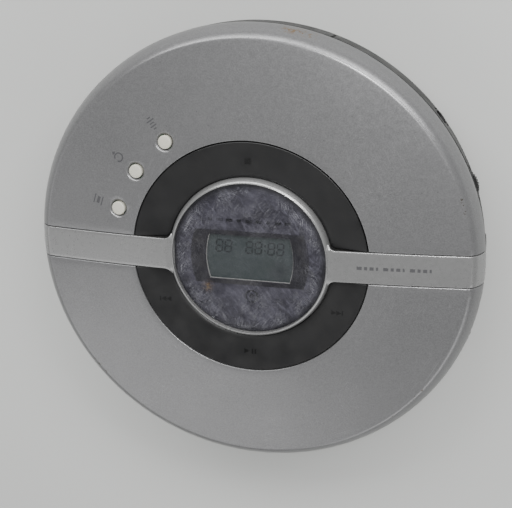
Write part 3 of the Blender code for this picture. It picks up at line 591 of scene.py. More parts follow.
def quarter_round(size, count=5):
    """Points (in, down) of a rounded edge, from its foot to its top."""
    turns = [pi / 2 * k / 4 for k in range(count)]
    return [(size * (1 - cos(t)), size * (1 - sin(t))) for t in turns]


def around(quarter):
    """Mirror a quarter of (angle, value) pairs from 0 to 90 degrees into a full turn."""
    half = quarter + [(pi - a, v) for a, v in quarter[-2::-1]]
    return half + [(2 * pi - a, v) for a, v in half[-2:0:-1]]


def lid_shell():
    """Lid with the channel for the band sunk into its outer surface."""
    edge_half = BAND_HALF + SEAM
    soft = 0.28
    full = softened(lid_outline(0.0))
    sunk = softened(lid_outline(CHANNEL_DEPTH))
    loops = []
    for (r, z), (r_low, z_low) in zip(full, sunk):
        edge = asin(edge_half / r)
        quarter = [(0.0, 1.0), (edge * 0.5, 1.0), (edge * 0.98, 1.0), (edge, 1.0)]
        quarter += [(edge + aside / r, down / CHANNEL_DEPTH) for aside, down in quarter_round(soft)]
        start = quarter[-1][0]
        for k in range(1, 37):
            quarter.append((start + (pi / 2 - start) * k / 36, 0.0))
        loop = []
        for angle, sink in around(quarter):
            rr = r + (r_low - r) * sink
            loop.append((rr * cos(angle), rr * sin(angle), z + (z_low - z) * sink))
        loops.append(loop)
    bm = bmesh.new()
    skin_loops(bm, loops, True)
    shell = finish_mesh("lid_shell_skin", bm, "lid_silver", "lid", ("lid_shell",))
    profile = [(0, -6), (BUTTON_R + 0.28, -6), (BUTTON_R + 0.28, -0.62), (BUTTON_R + 0.36, -0.50),
               (BUTTON_R + 0.85, -0.06), (BUTTON_R + 1.05, 0.03), (BUTTON_R + 1.05, 1.0), (0, 1.0)]
    for angle in BUTTON_ANGLES.values():
        carve(shell, turned("cutter", profile, None, None, steps=64, matrix=dome_seat(angle), closed=False))


def dome_seat(angle, radius=BUTTON_PITCH_R, lift=0.0):
    """Matrix that sets a piece on the dome at an angle, upright to the surface there."""
    x, y = polar(radius, angle)
    slope = atan2(2 * DOME_DROP * radius / DOME_R ** 2, 1.0)
    seat = Matrix.Translation(Vector((x, y, dome_z(radius) + lift)) * MM)
    return seat @ Matrix.Rotation(radians(angle), 4, "Z") @ Matrix.Rotation(slope, 4, "Y")


def corner_angle(r, offset):
    """Angle of the band's edge at a radius; offset is 0 on the band and SEAM on the keys and lid."""
    half = BAND_HALF + offset
    fillet = FILLET - offset + SEAM
    centre_r = KEY_INNER_R + FILLET
    centre_y = BAND_HALF + SEAM + FILLET
    centre_angle = asin(centre_y / centre_r)
    touch_r = hypot(centre_r * cos(centre_angle), half)
    if r >= touch_r:
        return asin(half / r)
    reach = (r * r + centre_r ** 2 - fillet ** 2) / (2 * r * centre_r)
    return centre_angle - acos(max(-1.0, min(1.0, reach)))


def band_arm(bm, side):
    """One arm of the band, from the top of the ring out over the rim."""
    thick, soft = 0.6, 0.22
    inner = KEY_INNER_R + 0.02 - SEAM
    radii = [24.4, 24.7, 25.0, 25.2] + [inner + 2.4 * (i / 12) ** 1.5 for i in range(12)]
    line = [(r, z - 0.02 * (1 - (r - 28) / 40)) for r, z in dome_line(28.2, RIDGE_R, 20, 0.0)[-3:-1]]
    rim = rim_line(0.0, 14, LID_EDGE_Z + 0.02)
    line = rounded(line + [(*rim[0], RIDGE_ROUND)] + rim[1:], 0.0, closed=False)
    start = [(r, min(dome_z(r) - 0.02, 27.2)) for r in radii] + dome_line(28.2, RIDGE_R - 4, 16, 0.0)
    points = []
    for point in start + line:
        if not points or hypot(point[0] - points[-1][0], point[1] - points[-1][1]) > 0.02:
            if not points or point[0] > points[-1][0] - 0.001 or point[1] < points[-1][1]:
                points.append(point)
    loops = []
    for i, (r, z) in enumerate(points):
        before, after = points[max(i - 1, 0)], points[min(i + 1, len(points) - 1)]
        run = Vector((after[0] - before[0], after[1] - before[1])).normalized()
        out = Vector((-run.y, run.x))
        edge = corner_angle(r, 0.0)
        section = [(edge - aside / r, down) for aside, down in quarter_round(soft)]
        top = [(section[-1][0] * (1 - 2 * k / 12), 0.0) for k in range(1, 12)]
        across = [(edge, thick)] + section + top + [(-a, d) for a, d in section[::-1]] + [(-edge, thick)]
        loop = []
        for angle, depth in across:
            rr, zz = r - out.x * depth, z - out.y * depth
            y = rr * sin(angle)
            share = min(1.0, max(0.0, (abs(y) - BAND_HALF) / FILLET))
            loop.append((side * rr * cos(angle), y, zz - TIP_DROP * share * share * (3 - 2 * share)))
        loops.append(loop)
    skin_loops(bm, loops, False)


def lid_band():
    """Ring round the window and the two arms, drawn as one piece."""
    bm = bmesh.new()
    ring = rounded([(RING_INNER_R, 25.0, 0.05), (22.95, 25.0, 0.1), (22.95, 24.25, 0.1),
                    (RING_OUTER_R, 24.25, 0.1), (RING_OUTER_R, 25.35, 0.3), (25.1, 26.2, 0.4),
                    (24.75, 26.85, 0.4), (24.3, 27.22, 0.3), (RING_INNER_R, RING_TOP_Z, 0.12)], 0.1)
    loops = [[(r * cos(2 * pi * i / STEPS), r * sin(2 * pi * i / STEPS), z) for i in range(STEPS)] for r,
             z in ring]
    skin_loops(bm, loops, True)
    for side in (-1, 1):
        band_arm(bm, side)
    return finish_mesh("lid_band_trim", bm, "band_silver", "lid", ("lid_band",))


def key_height(r):
    """Height of the dished top of the keys at a radius."""
    share = (r - KEY_INNER_R) / (KEY_OUTER_R - KEY_INNER_R)
    return KEY_INNER_Z + (KEY_OUTER_Z - KEY_INNER_Z) * share ** 0.9


def half_key(name, side, node, body):
    """Dished half-ring key with rounded edges and rounded inner corners."""
    soft, thick = 0.3, 1.0

    def section(inset):
        count = 9
        inner, outer = KEY_INNER_R + inset, KEY_OUTER_R - inset
        corner = quarter_round(soft, 4)
        top = [(inner + aside, KEY_INNER_Z - inset - down) for aside, down in corner]
        for k in range(count + 1):
            r = inner + soft + (outer - inner - 2 * soft) * k / count
            top.append((r, key_height(r) - inset))
        top += [(outer - aside, KEY_OUTER_Z - inset - down) for aside, down in corner[::-1]]
        return top + [(outer, KEY_OUTER_Z - thick), (inner, KEY_INNER_Z - thick)]

    stations = quarter_round(soft)
    loops = []
    count = 60
    for offset, inset in stations:
        loops.append([(r, corner_angle(r, SEAM) + offset / r, z) for r, z in section(inset)])
    plain = section(0.0)
    for k in range(1, count):
        share = k / count
        ring = []
        for r, z in plain:
            start = corner_angle(r, SEAM) + soft / r
            ring.append((r, start + (pi - 2 * start) * share, z))
        loops.append(ring)
    for offset, inset in stations[::-1]:
        loops.append([(r, pi - corner_angle(r, SEAM) - offset / r, z) for r, z in section(inset)])
    drawn = [[(r * cos(a), side * r * sin(a), z) for r, a, z in loop] for loop in loops]
    bm = bmesh.new()
    skin_loops(bm, drawn, False)
    finish_mesh(name, bm, "key_black", body, (node,))


def key_seat(angle, r=SIGN_R, lift=0.012):
    """Matrix on the dished key at an angle, with Y pointing away from the player's axis."""
    slope = atan2(KEY_OUTER_Z - KEY_INNER_Z, KEY_OUTER_R - KEY_INNER_R)
    x, y = polar(r, angle)
    seat = Matrix.Translation(Vector((x, y, key_height(r) + lift)) * MM)
    lean = Matrix.Rotation(radians(angle), 4, "Z") @ Matrix.Rotation(-slope, 4, "Y")
    return seat @ lean @ Matrix.Rotation(radians(-angle), 4, "Z")


def mark(name, outline, matrix, material, body):
    """Thin printed shape lying on a surface."""
    return plate(name, outline, -0.05, PRINT_THICK, material, body, matrix=matrix)


def rectangle(x, y, width, height):
    return [(x - width / 2, y - height / 2), (x + width / 2, y - height / 2),
            (x + width / 2, y + height / 2), (x - width / 2, y + height / 2)]


def arrow(x, y, size, way):
    """Triangle pointing along X."""
    return [(x - way * size / 2, y - size / 2), (x + way * size / 2, y),
            (x - way * size / 2, y + size / 2)][::way]


def key_symbols():
    """Transport symbols: stop, back, play and pause, next."""
    marks = {
        "stop": (90, [rectangle(0, 0, 1.9, 1.9)]),
        "back": (210, [rectangle(-2.3, 0, 0.35, 1.5), arrow(-1.2, 0, 1.5, -1), arrow(0.4, 0, 1.5, -1)]),
        "play": (270, [arrow(-1.2, 0, 1.6, 1), rectangle(0.6, 0, 0.45, 1.6), rectangle(1.5, 0, 0.45, 1.6)]),
        "next": (330, [arrow(-0.4, 0, 1.5, 1), arrow(1.2, 0, 1.5, 1), rectangle(2.3, 0, 0.35, 1.5)]),
    }
    for name, (angle, shapes) in marks.items():
        body = "stop_key" if name == "stop" else "transport_key"
        for i, outline in enumerate(shapes):
            mark("%s_symbol_%d" % (name, i + 1), outline, key_seat(angle), "print_grey", body)


def round_buttons():
    for name, angle in BUTTON_ANGLES.items():
        profile = rounded([(0, 0.38), (BUTTON_R * 0.6, 0.36, 1.0), (BUTTON_R, 0.22, 0.30),
                           (BUTTON_R, -1.6, 0.05), (0, -1.6)], 0.1, closed=False)
        turned(name + "_cap", profile, "button_cream", name + "_button", (name + "_button",), steps=64,
               matrix=dome_seat(angle), closed=False)


def window():
    edge = RING_INNER_R - 0.12
    top = [(edge * i / 10, HEIGHT - 0.02 - 0.75 * (i / 10) ** 2) for i in range(10)]
    profile = top + rounded([top[-1], (edge, 27.13, 0.25), (edge, 26.1, 0.1), (0, 26.1)], 0.1,
                            closed=False)[1:]
    turned("window_pane", profile, "window_tint", "lid", ("window_lens",), closed=False)
    card = turned("window_card",
                  rounded([(0, 25.85), (edge, 25.85), (edge, 25.5), (0, 25.5)], 0.05, closed=False),
                  "mask_dark", "lid", ("window_mask",), closed=False)
    carve(card, plate("cutter", bowed(*DISPLAY_OPENING), 20, 30, None, None))
    surround = plate("window_surround", bowed(18.4, 8.6, 1.6), 25.80, 25.93, "surround_black", "lid")
    carve(surround, plate("cutter", bowed(*DISPLAY_OPENING), 20, 30, None, None))


def bowed(half_x, half_y, bow, steps=10):
    """Rectangle whose left and right sides bulge by bow."""
    points = []
    for side in (1, -1):
        for i in range(steps + 1):
            t = -1 + 2 * i / steps
            points.append((side * (half_x - bow * t * t), side * t * half_y))
    return points


def display():
    frame_piece = plate("lcd_surround", bowed(15.3, 8.4, 1.0), 24.0, 25.4, "bezel_grey", "lid",
                        ("lcd_frame",))
    carve(frame_piece, plate("cutter", bowed(13.45, 7.05, 1.1), 20, 30, None, None))
    plate("lcd_glass", bowed(14.2, 7.5, 1.1), 24.05, 25.12, "lcd_grey", "lid", ("lcd_panel",))
    digits()


def key_mat():
    """Rubber mat with the four switch domes, under the keys."""
    floor = 23.6
    profile = rounded([(23.2, floor + 0.12), (39.2, floor + 0.12), (39.2, floor + 0.02),
                       (23.2, floor + 0.02)], 0.03)
    mat = turned("key_mat", profile, "foot_rubber", "lid", ("switch_sheet",))
    for angle in (90, 210, 270, 330):
        x, y = polar(SIGN_R, angle)
        carve(mat, hole((x, y, floor + 0.3), (x, y, floor + 0.05), 2.2, edge=0.12), operation="UNION")


def ring_outline(x, y, outer, inner, start=0.0, end=360.0, steps=24):
    """Outline of a ring or arc as one strip."""
    points = [(x + outer * cos(radians(start + (end - start) * i / steps)),
               y + outer * sin(radians(start + (end - start) * i / steps))) for i in range(steps + 1)]
    points += [(x + inner * cos(radians(start + (end - start) * i / steps)),
                y + inner * sin(radians(start + (end - start) * i / steps))) for i in range(steps, -1, -1)]
    return points


def window_marks():
    """Plain printed marks on the card: a row of bars above the display and a small disc sign below it."""
    level = Matrix.Translation(Vector((0, 0, 25.86)) * MM)
    for i in range(9):
        width = 2.0 if i % 3 else 1.2
        mark("window_bar_%d" % (i + 1), rectangle(-12.0 + 3.0 * i, 11.9, width, 0.9), level, "print_grey",
             "lid")
    for part, outer, inner in (("outer", 2.1, 1.6), ("inner", 0.75, 0.3)):
        mark("disc_sign_" + part, ring_outline(0.6, -12.2, outer, inner, 0, 350), level, "print_grey",
             "lid")


def band_marks():
    """Row of short bars on the band, in place of its words."""
    x = 33.0
    for i in range(12):
        width = (1.5, 0.9, 1.2, 0.6)[i % 4]
        mark("band_bar_%d" % (i + 1), rectangle(0, 0, width, 1.0), dome_seat(0, x + width / 2, 0.002),
             "print_dark", "lid")
        x += width + (1.5 if i % 4 == 3 else 0.7)


def button_signs():
    """One plain sign outward of each round button: a wave of bars, a loop and a frame."""
    for angle, kind in ((126, "bars"), (144, "loop"), (162, "frame")):
        for radius, outline in button_sign(kind):
            seat = dome_seat(angle, radius, 0.004) @ Matrix.Rotation(radians(90), 4, "Z")
            mark("%s_sign_%d" % (kind, round(radius * 10)), outline, seat, "print_dark", "lid")


def button_sign(kind):
    if kind == "bars":
        return [(48.2 + 0.9 * i, rectangle(0, 0, height, 0.38)) for i,
                height in enumerate((1.0, 2.2, 1.5, 2.6, 1.2))]
    if kind == "loop":
        return [(50.0, ring_outline(0, 0, 1.5, 1.1, 20, 330)),
                (51.9, [(-0.7, 0), (0, -0.7), (0.7, 0), (0, 0.25)])]
    return [(49.0, rectangle(0, 0, 3.0, 0.35)), (50.2, rectangle(0, 0, 2.2, 0.9)),
            (51.5, rectangle(0, 0, 3.0, 0.35))]


def seven_segments(x, y, height):
    """Outlines of all the segments of a display figure whose lower left corner is at x, y."""
    width, stroke, gap = height * 0.52, height * 0.13, height * 0.03
    half = height / 2
    places = ((0, height, "h"), (0, half, "h"), (0, 0, "h"), (0, half, "v"), (width, half, "v"),
              (0, 0, "v"), (width, 0, "v"))
    outlines = []
    for dx, dy, way in places:
        if way == "h":
            shape = [(gap, 0), (gap + stroke / 2, -stroke / 2), (width - gap - stroke / 2, -stroke / 2),
                     (width - gap, 0), (width - gap - stroke / 2, stroke / 2),
                     (gap + stroke / 2, stroke / 2)]
        else:
            shape = [(0, gap), (stroke / 2, gap + stroke / 2), (stroke / 2, half - gap - stroke / 2),
                     (0, half - gap), (-stroke / 2, half - gap - stroke / 2),
                     (-stroke / 2, gap + stroke / 2)]
        lean = 0.08
        outlines.append([(x + dx + px + (dy + py) * lean, y + dy + py) for px, py in shape])
    return outlines


def digits():
    """Every segment of the six figures, faint, as on a display that is off."""
    rows = (-10.6, -7.8, -1.2, 1.6, 5.6, 8.4)
    level = Matrix.Translation(Vector((0, 0, 25.13)) * MM)
    for i, x in enumerate(rows):
        for k, outline in enumerate(seven_segments(x, 1.5, 3.7)):
            mark("digit_%d_segment_%d" % (i + 1, k + 1), outline, level, "segment_dark", "lid")
    for i, y in enumerate((2.6, 4.2)):
        mark("colon_dot_%d" % (i + 1), rectangle(4.7 + 0.1 * i, y, 0.5, 0.5), level, "segment_dark", "lid")


# ---- base ----
def lower_edge(inset, count=14):
    """Quarter round between the base's side and its flat underside, moved in by inset."""
    width, depth = BASE_SIDE_R - BASE_FLAT_R, BASE_SIDE_Z - BASE_BOTTOM_Z
    points = []
    for i in range(count):
        t = pi / 2 * i / (count - 1)
        points.append((BASE_FLAT_R - inset + width * cos(t), BASE_SIDE_Z - (depth - inset) * sin(t)))
    return points


FOOT_SPOTS = [polar(54, angle) for angle in (50, 130, 230, 310)]
SCREW_SPOTS = [polar(58.5, angle) for angle in (75, 105, 285)]


def knuckles(target, inner_x, outer_x, low_y, high_y):
    """Give a mesh its two hinge arms with their barrels, and the bore for the pin."""
    for side in (-1, 1):
        near, far = sorted((side * inner_x, side * outer_x))
        arm = slab((near + 0.1, low_y, HINGE_Z - 0.9), (far - 0.1, high_y, HINGE_Z + 0.9), edge=0.2)
        barrel = hole((near, HINGE_Y, HINGE_Z), (far, HINGE_Y, HINGE_Z), KNUCKLE_R, edge=0.15)
        carve(target, arm, barrel, operation="UNION")
    carve(target, hole((-20, HINGE_Y, HINGE_Z), (20, HINGE_Y, HINGE_Z), HINGE_PIN_R + 0.1))


def base_shell():
    """Black base with its hinge recess, door opening and side openings."""
    wall_r = OUTER_R - 0.15
    outside = rounded([(wall_r - 0.6, BASE_TOP_Z), (wall_r, BASE_TOP_Z, 0.3),
                       (BASE_SIDE_R, BASE_SIDE_Z, 0.2)], 0.2, closed=False)[:-1] + lower_edge(0.0)
    inside = [(wall_r - BASE_WALL, BASE_TOP_Z)] + lower_edge(BASE_FLOOR_Z - BASE_BOTTOM_Z, 8)
    profile = [(0.0, BASE_FLOOR_Z)] + inside[::-1] + outside + [(0.0, BASE_BOTTOM_Z)]
    shell = turned("base_skin", profile, "base_black", "base", ("base_shell",), closed=False)
    tub_low = HINGE_Z - HINGE_SWEEP_R - 1.2
    carve(shell, *[slab((-half_x, WELL_FRONT_Y - 1, tub_low), (half_x, rear_y, BASE_TOP_Z - 0.4 - 0.3 * i))
                   for i, (half_x, rear_y) in enumerate(((WELL_HALF_X + 1, 64.3), (18, 66.2), (12, 67.6)))],
          operation="UNION")
    recess = hole((-WELL_HALF_X, HINGE_Y, HINGE_Z), (WELL_HALF_X, HINGE_Y, HINGE_Z), HINGE_SWEEP_R, 64)
    carve(recess, slab((-30, WELL_FRONT_Y, 0), (30, 80, 30)), operation="INTERSECT")
    carve(shell, recess)
    knuckles(shell, 8.4, 13.4, WELL_FRONT_Y - 0.5, HINGE_Y - 0.4)
    carve(shell, slab((-52.4, -29.4, 0), (CELL_BAY_X[1] + 1.9, 29.4, 3), edge=0.8))
    for x, y in FOOT_SPOTS:
        carve(shell, hole((x, y, 0), (x, y, 1.5), 4.25))
    for x, y in SCREW_SPOTS:
        carve(shell, hole((x, y, 0), (x, y, 3), 1.3), hole((x, y, 0), (x, y, 1.7), 2.45))
    carve(shell, hole((64, 0, JACK_Z), (75, 0, JACK_Z), 3.0, turn=PHONE_ANGLE),
          hole((64, 0, JACK_Z), (75, 0, JACK_Z), 3.4, turn=POWER_ANGLE),
          slab((66, -5.6, 9.8), (75, 5.6, 12.8), WHEEL_ANGLE, 0.3),
          slab((66, -1.2, 10.2), (75, 4.2, 11.8), HOLD_ANGLE, 0.3),
          slab((-2.9, -75, 10.6), (5.9, -66, 12.8), edge=0.3))
    for i in range(5):
        carve(shell, slab((14 + 5 * i, -30, 0.5), (16 + 5 * i, -14, 1.35), edge=0.3))
    carve(shell, slab((6, 2, 0.5), (42, 26, 1.12), edge=0.1))
    for turn in (-60, -100, -140, 160, 120):
        carve(shell, slab((68.2, -0.35, 8.6), (71, 0.35, 13.4), turn, 0.1))


def feet():
    for i, (x, y) in enumerate(FOOT_SPOTS):
        profile = rounded([(0, 0.25), (1.6, 0.25, 0.2), (2.0, 0.0, 0.2), (3.9, 0.0, 0.5), (4.0, 1.3, 0.1),
                           (0, 1.3)], 0.1, closed=False)
        turned("foot_%d_pad" % (i + 1), profile, "foot_rubber", "base", ("foot_%d" % (i + 1),), (x, y), 64,
               closed=False)
    for i, (x, y) in enumerate(SCREW_SPOTS):
        profile = rounded([(0, 1.15), (1.7, 1.15, 0.3), (2.1, 1.4, 0.1), (0.95, 1.42), (0.95, 7.0),
                           (0, 7.0)], 0.05, closed=False)
        screw = turned("base_screw_%d_head" % (i + 1), profile, "spring_steel", "base",
                       ("base_screw_%d" % (i + 1),), (x, y), 48, closed=False)
        for turn in (20, 110):
            x_turned, y_turned = (x * cos(radians(turn)) + y * sin(radians(turn)),
                                  y * cos(radians(turn)) - x * sin(radians(turn)))
            carve(screw,
                  slab((x_turned - 1.15, y_turned - 0.2, 1.0), (x_turned + 1.15, y_turned + 0.2, 1.36),
                       turn))


def battery_door():
    low, high = DOOR_AXIS_X - 0.3, CELL_BAY_X[1] + 1.5
    door = block("battery_door_panel", (low, -29, BASE_BOTTOM_Z), (high, 29, 2.1), "base_black",
                 "battery_door", ("battery_door",), edge=0.3)
    carve(door, slab((high - 3.0, -5, 0.4), (high - 1.2, 5, 1.6), edge=0.3))
    for i in range(6):
        carve(door,
              slab((high - 9.5 + i, -6 + 0.6 * i, 0.5), (high - 9.1 + i, 6 - 0.6 * i, 1.22), edge=0.1))
    for y in (-20, 20):
        carve(door, slab((low + 4, y - 0.6, 0.5), (high - 6, y + 0.6, 1.15), edge=0.1))


def deck():
    """Disc well: floor, wall, rim, and the slot that the lens looks through."""
    rim_r, under = 67.0, DECK_FLOOR_Z - 1.0
    profile = rounded([(12.0, DECK_FLOOR_Z, 0.3), (20.5, DECK_FLOOR_Z, 0.1),
                       (20.8, DECK_FLOOR_Z + 0.22, 0.1), (22.0, DECK_FLOOR_Z + 0.22, 0.1),
                       (22.3, DECK_FLOOR_Z, 0.1), (56.0, DECK_FLOOR_Z, 0.1),
                       (56.4, DECK_FLOOR_Z + 0.3, 0.1), (WELL_R, DECK_FLOOR_Z + 0.3, 0.4),
                       (WELL_R + 0.2, DECK_RIM_Z, 0.4), (rim_r, DECK_RIM_Z, 0.2),
                       (rim_r + 0.4, DECK_RIM_Z - 0.4, 0.2), (rim_r + 0.4, 16.0, 0.2),
                       (OUTER_R - 0.3, 16.0, 0.2), (OUTER_R - 0.3, 15.2, 0.1), (rim_r - 0.4, 15.2, 0.1),
                       (rim_r - 0.4, DECK_RIM_Z - 0.9, 0.1), (WELL_R + 1.0, DECK_RIM_Z - 0.9, 0.1),
                       (WELL_R + 1.0, under, 0.1), (12.0, under, 0.1)], 0.1)
    part = turned("deck_skin", profile, "deck_black", "base", ("deck",))
    carve(part, slab((-WELL_HALF_X, 63.4, 14), (WELL_HALF_X, 75, 22), edge=0.3),
          slab((-7.5, -61.55, 16), (7.5, -14.5, 19), edge=0.4),
          slab((-4.2, -66.2, 14), (8.6, -63.2, 22), edge=0.4))
    for angle in (35, 145, 215, 325):
        x, y = polar(50, angle)
        carve(part, hole((x, y, DECK_FLOOR_Z - 0.4), (x, y, 20), 2.4), hole((x, y, 16), (x, y, 20), 1.0))


def hinge():
    """Stretch of side wall that turns with the lid, its knuckles, and the pin."""
    wall = rounded([(68.3, 16.1), (OUTER_R - 0.2, 16.1, 0.3), (OUTER_R - 0.15, BASE_TOP_Z),
                    (BASE_SIDE_R, BASE_SIDE_Z), (68.3, BASE_SIDE_Z)], 0.1)
    cover = turned("hinge_cover", wall, "base_black", "lid", ("hinge_bracket",))
    carve(cover, slab((-COVER_HALF_X, 50, 5), (COVER_HALF_X, 80, 25), edge=0.4), operation="INTERSECT")
    carve(cover, hole((-30, HINGE_Y, HINGE_Z), (30, HINGE_Y, HINGE_Z), HINGE_SWEEP_R - 0.3, 64),
          operation="INTERSECT")
    knuckles(cover, 3.0, 8.0, HINGE_Y + 0.4, 68.8)
    rod("hinge_pin_bar", (-13.6, HINGE_Y, HINGE_Z), (13.6, HINGE_Y, HINGE_Z), HINGE_PIN_R, "spring_steel",
        "base", ("hinge_pin",), 0.2)


# ---- controls round the side ----
def jacks():
    rows = (("headphone", (56.5, -3.2, 6.0), (66.2, 3.2, 12.6), (69.3, 2.7), (58, 1.85), PHONE_ANGLE),
            ("power", (57.5, -3.6, 6.0), (66.0, 3.6, 12.9), (69.0, 3.1), (59, 2.3), POWER_ANGLE))
    for name, low, high, (mouth_x, mouth_r), (end_x, bore_r), turn in rows:
        socket = block(name + "_socket", low, high, "chip_black", "base", (name + "_jack",), 0.2, turn)
        carve(socket, hole((mouth_x, 0, JACK_Z), (65, 0, JACK_Z), mouth_r, turn=turn, edge=0.3),
              operation="UNION")
        carve(socket, hole((75, 0, JACK_Z), (end_x, 0, JACK_Z), bore_r, turn=turn))
    rod("power_socket_pin", (67.5, 0, JACK_Z), (58.8, 0, JACK_Z), 0.7, "spring_steel", "base", (), 0.25,
        turn=POWER_ANGLE)
    sleeve = rod("headphone_sleeve", (69.1, 0, JACK_Z), (60, 0, JACK_Z), 1.83, "spring_steel", "base", (),
                 0.1, turn=PHONE_ANGLE)
    carve(sleeve, hole((75, 0, JACK_Z), (59, 0, JACK_Z), 1.7, turn=PHONE_ANGLE))


def side_controls():
    x, y = polar(63.3, WHEEL_ANGLE)
    outline = []
    teeth = 48
    for i in range(teeth * 4):
        radius = 6.72 + (0.26, 0.26, 0.0, 0.0)[i % 4]
        px, py = polar(radius, 90.0 * i / teeth)
        outline.append((x + px, y + py))
    wheel = plate("volume_wheel_rim", outline, 10.2, 12.4, "base_black", "volume_wheel", ("volume_wheel",),
                  edge=0.15)
    carve(wheel, hole((x, y, 9), (x, y, 14), 1.15), hole((x, y, 12.1), (x, y, 14), 4.6))
    knob = block("hold_knob_cap", (69.7, -2.6, 9.8), (70.4, 2.6, 12.2), "base_black", "hold_knob",
                 ("hold_knob",), 0.18, HOLD_ANGLE)
    carve(knob, slab((65.0, -0.9, 10.4), (70.0, 0.9, 11.6), HOLD_ANGLE), operation="UNION")
    for i in range(5):
        carve(knob, slab((70.25, -1.7 + 0.8 * i, 9.0), (71, -1.5 + 0.8 * i, 13.0), HOLD_ANGLE))


def open_slider():
    slider = block("open_slider_knob", (-7, -70.6, 9.9), (7, -69.95, 13.5), "base_black", "open_slider",
                   ("open_slider",), edge=0.2)
    carve(slider, slab((-2.5, -70.2, 11.0), (2.5, -66.0, 12.4), edge=0.1),
          slab((-5.2, -67.0, 11.05), (5.2, -63.5, 12.35), edge=0.15),
          slab((3.6, -65.8, 12.0), (5.1, -64.2, 16.3), edge=0.25), operation="UNION")
    for i in range(9):
        carve(slider, slab((-4.9 + 1.15 * i, -71, 10.5), (-4.5 + 1.15 * i, -70.4, 12.9)))


# ---- disc drive ----
def spindle():
    table = rounded([(0.0, DISC_SEAT_Z - 0.45), (7.9, DISC_SEAT_Z - 0.45, 0.1),
                     (8.2, DISC_SEAT_Z - 0.3, 0.1), (TURNTABLE_R - 0.6, DISC_SEAT_Z - 0.45, 0.2),
                     (TURNTABLE_R, DISC_SEAT_Z - 0.75, 0.2), (TURNTABLE_R, DECK_FLOOR_Z + 0.3, 0.1),
                     (4.4, DECK_FLOOR_Z + 0.3, 0.2), (3.6, 12.7, 0.1), (0.8, 12.7), (0.8, 6.0), (0.0, 6.0)],
                    0.05, closed=False)
    turned("turntable_disc", table, "chip_black", "turntable", ("turntable",), closed=False)
    seat = rounded([(8.6, DISC_SEAT_Z + 0.13), (12.4, DISC_SEAT_Z + 0.13), (12.4, DISC_SEAT_Z - 0.45),
                    (8.6, DISC_SEAT_Z - 0.45)], 0.1)
    turned("turntable_grip", seat, "foot_rubber", "turntable", ("turntable_pad",))
    boss = rounded([(0.0, 20.9), (2.6, 20.9, 0.2), (3.1, 21.7, 0.2), (5.6, 21.7, 0.3), (6.9, 21.2, 0.3),
                    (7.3, 20.2, 0.3), (7.3, DISC_SEAT_Z - 0.4), (0.0, DISC_SEAT_Z - 0.4)], 0.1,
                   closed=False)
    hub = turned("hub_cap", boss, "gear_white", "turntable", ("hub_boss",), closed=False)
    for i in range(3):
        carve(hub, slab((4.2, -1.3, 20.0), (9, 1.3, 21.35), 90 + 120 * i, 0.1))
        block("chuck_jaw_%d_tip" % (i + 1), (5.1, -1.0, 20.25), (7.7, 1.0, 21.1), "gear_white",
              "chuck_jaw_%d" % (i + 1), ("chuck_jaw_%d" % (i + 1),), 0.3, 90 + 120 * i)


def pickup():
    """Top of the laser sled with its lens, as seen through the slot in the well."""
    top = DECK_FLOOR_Z - 0.55
    holder = rounded([(2.0, top + 0.2, 0.1), (3.0, top + 0.2, 0.15), (3.2, top, 0.1), (3.2, 13.2),
                      (2.0, 13.2)], 0.05)
    turned("lens_holder_ring", holder, "chip_black", "lens", ("lens_holder",), (0, LENS_Y), 72)
    dome = [(1.7 * sin(radians(6 * i)), top - 0.15 + 0.5 * cos(radians(6 * i))) for i in range(16)]
    turned("lens_glass", dome + [(1.7, top - 0.9), (0, top - 0.9)], "lens_blue", "lens",
           ("objective_lens",), (0, LENS_Y), 72, closed=False)
    for side in (-1, 1):
        block("lens_magnet_%s" % ("left", "right")[(side + 1) // 2], (side * 5.1 - 0.9, LENS_Y - 2.6, 14.6),
              (side * 5.1 + 0.9, LENS_Y + 2.6, 15.4), "spring_steel", "sled", (), 0.15)


def lid_underside():
    """Inner cover of the lid: stepped rings, screws and the disc's centre recess."""
    low, high = 22.3, 22.85
    profile = rounded([(0, low + 0.25), (9.6, low + 0.25, 0.1), (10.0, low, 0.1), (14.0, low, 0.1),
                       (14.3, low + 0.12, 0.1), (40.0, low + 0.12, 0.1), (40.3, low, 0.1), (41.5, low, 0.1),
                       (41.8, low + 0.12, 0.1), (55.4, low + 0.12, 0.1), (56.0, low + 0.35, 0.1),
                       (56.0, high, 0.1), (0, high)], 0.05, closed=False)
    cover = turned("lid_inner_cover", profile, "deck_black", "lid", ("lid_inner_panel",), closed=False)
    for i in range(6):
        angle = 30 + 60 * i
        x, y = polar(49, angle)
        carve(cover, hole((x, y, 20), (x, y, low + 0.3), 2.3))
        head = rounded([(0, low + 0.02), (1.3, low + 0.02, 0.2), (1.7, low + 0.2, 0.1), (1.7, low + 0.4),
                        (0, low + 0.4)], 0.05, closed=False)
        screw = turned("lid_screw_%d" % (i + 1), head, "spring_steel", "lid", (), (x, y), 40, closed=False)
        carve(screw, slab((49 - 1.0, -0.16, 20), (49 + 1.0, 0.16, low + 0.14), angle),
              slab((49 - 0.16, -1.0, 20), (49 + 0.16, 1.0, low + 0.14), angle))
    block("lid_catch_hook", (-3, -65.4, 15.4), (3, -64.2, 22.0), "base_black", "lid", ("lid_catch",), 0.3)


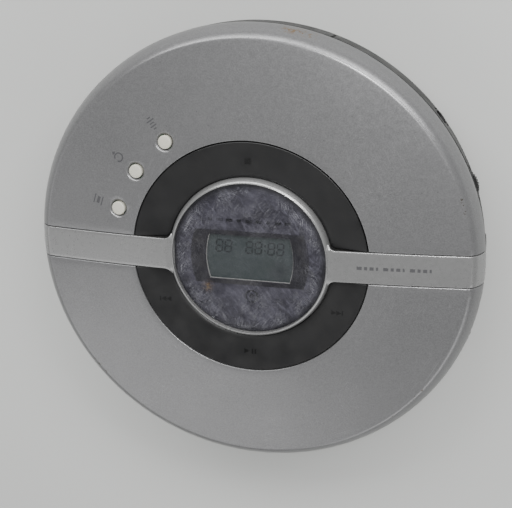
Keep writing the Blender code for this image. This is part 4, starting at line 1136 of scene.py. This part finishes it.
# ---- stage ----
def add_light(name, place, size, power):
    """Rectangular lamp turned to the middle of the player."""
    data = bpy.data.lights.new(name, "AREA")
    data.shape = "RECTANGLE"
    data.size, data.size_y = size
    data.energy = power
    light = bpy.data.objects.new(name, data)
    light.location = place
    light.rotation_euler = (-Vector(place)).to_track_quat("-Z", "Y").to_euler()
    bpy.context.scene.collection.objects.link(light)


def stage():
    bm = bmesh.new()
    bmesh.ops.create_grid(bm, x_segments=8, y_segments=8, size=1.5)
    mesh = bpy.data.meshes.new("floor")
    bm.to_mesh(mesh)
    bm.free()
    floor = bpy.data.objects.new("floor", mesh)
    paint = Paint("floor_paint", (0.415, 0.42, 0.41), 0.7)
    paint.blend_colour(paint.fit(paint.noise(120, 2.0), 0.3, 0.7, 0.0, 0.4), (0.435, 0.44, 0.43))
    mesh.materials.append(paint.mat)
    floor.location.z = -0.05 * MM
    bpy.context.scene.collection.objects.link(floor)
    world = bpy.data.worlds.new("studio")
    world.use_nodes = True
    world.node_tree.nodes["Background"].inputs["Color"].default_value = (0.95, 0.96, 0.95, 1.0)
    world.node_tree.nodes["Background"].inputs["Strength"].default_value = 0.20
    bpy.context.scene.world = world
    add_light("overhead_rear", (0.23, 0.42, 0.96), (0.20, 0.16), 9.0)
    add_light("rear_right", (0.60, 0.88, 0.72), (0.8, 0.45), 12.0)
    add_light("rear_sky", (-0.35, 0.98, 0.70), (1.1, 0.6), 16.0)
    add_light("front_high", (-0.45, -0.80, 0.80), (0.8, 0.6), 2.5)
    add_light("front_fill", (0.55, -1.00, 0.55), (1.3, 0.6), 6.0)
    add_light("left_fill", (-1.05, -0.45, 0.60), (1.0, 0.6), 2.0)


lid_shell()
lid_band()
half_key("stop_key_cap", 1, "stop_key", "stop_key")
half_key("transport_key_cap", -1, "transport_key", "transport_key")
key_symbols()
round_buttons()
window()
display()
key_mat()
window_marks()
band_marks()
button_signs()
base_shell()
feet()
battery_door()
deck()
hinge()
jacks()
side_controls()
open_slider()
spindle()
pickup()
lid_underside()


def finish_nodes():
    """Give every CAD node that is still shown the material of its slot."""
    slots = {part["node"]: part["material_slot"] for part in frame["record"]["subparts"]}
    for name, obj in frame["nodes"].items():
        obj.data.materials.clear()
        obj.data.materials.append(MATERIALS[slots[name]])


finish_nodes()
stage()
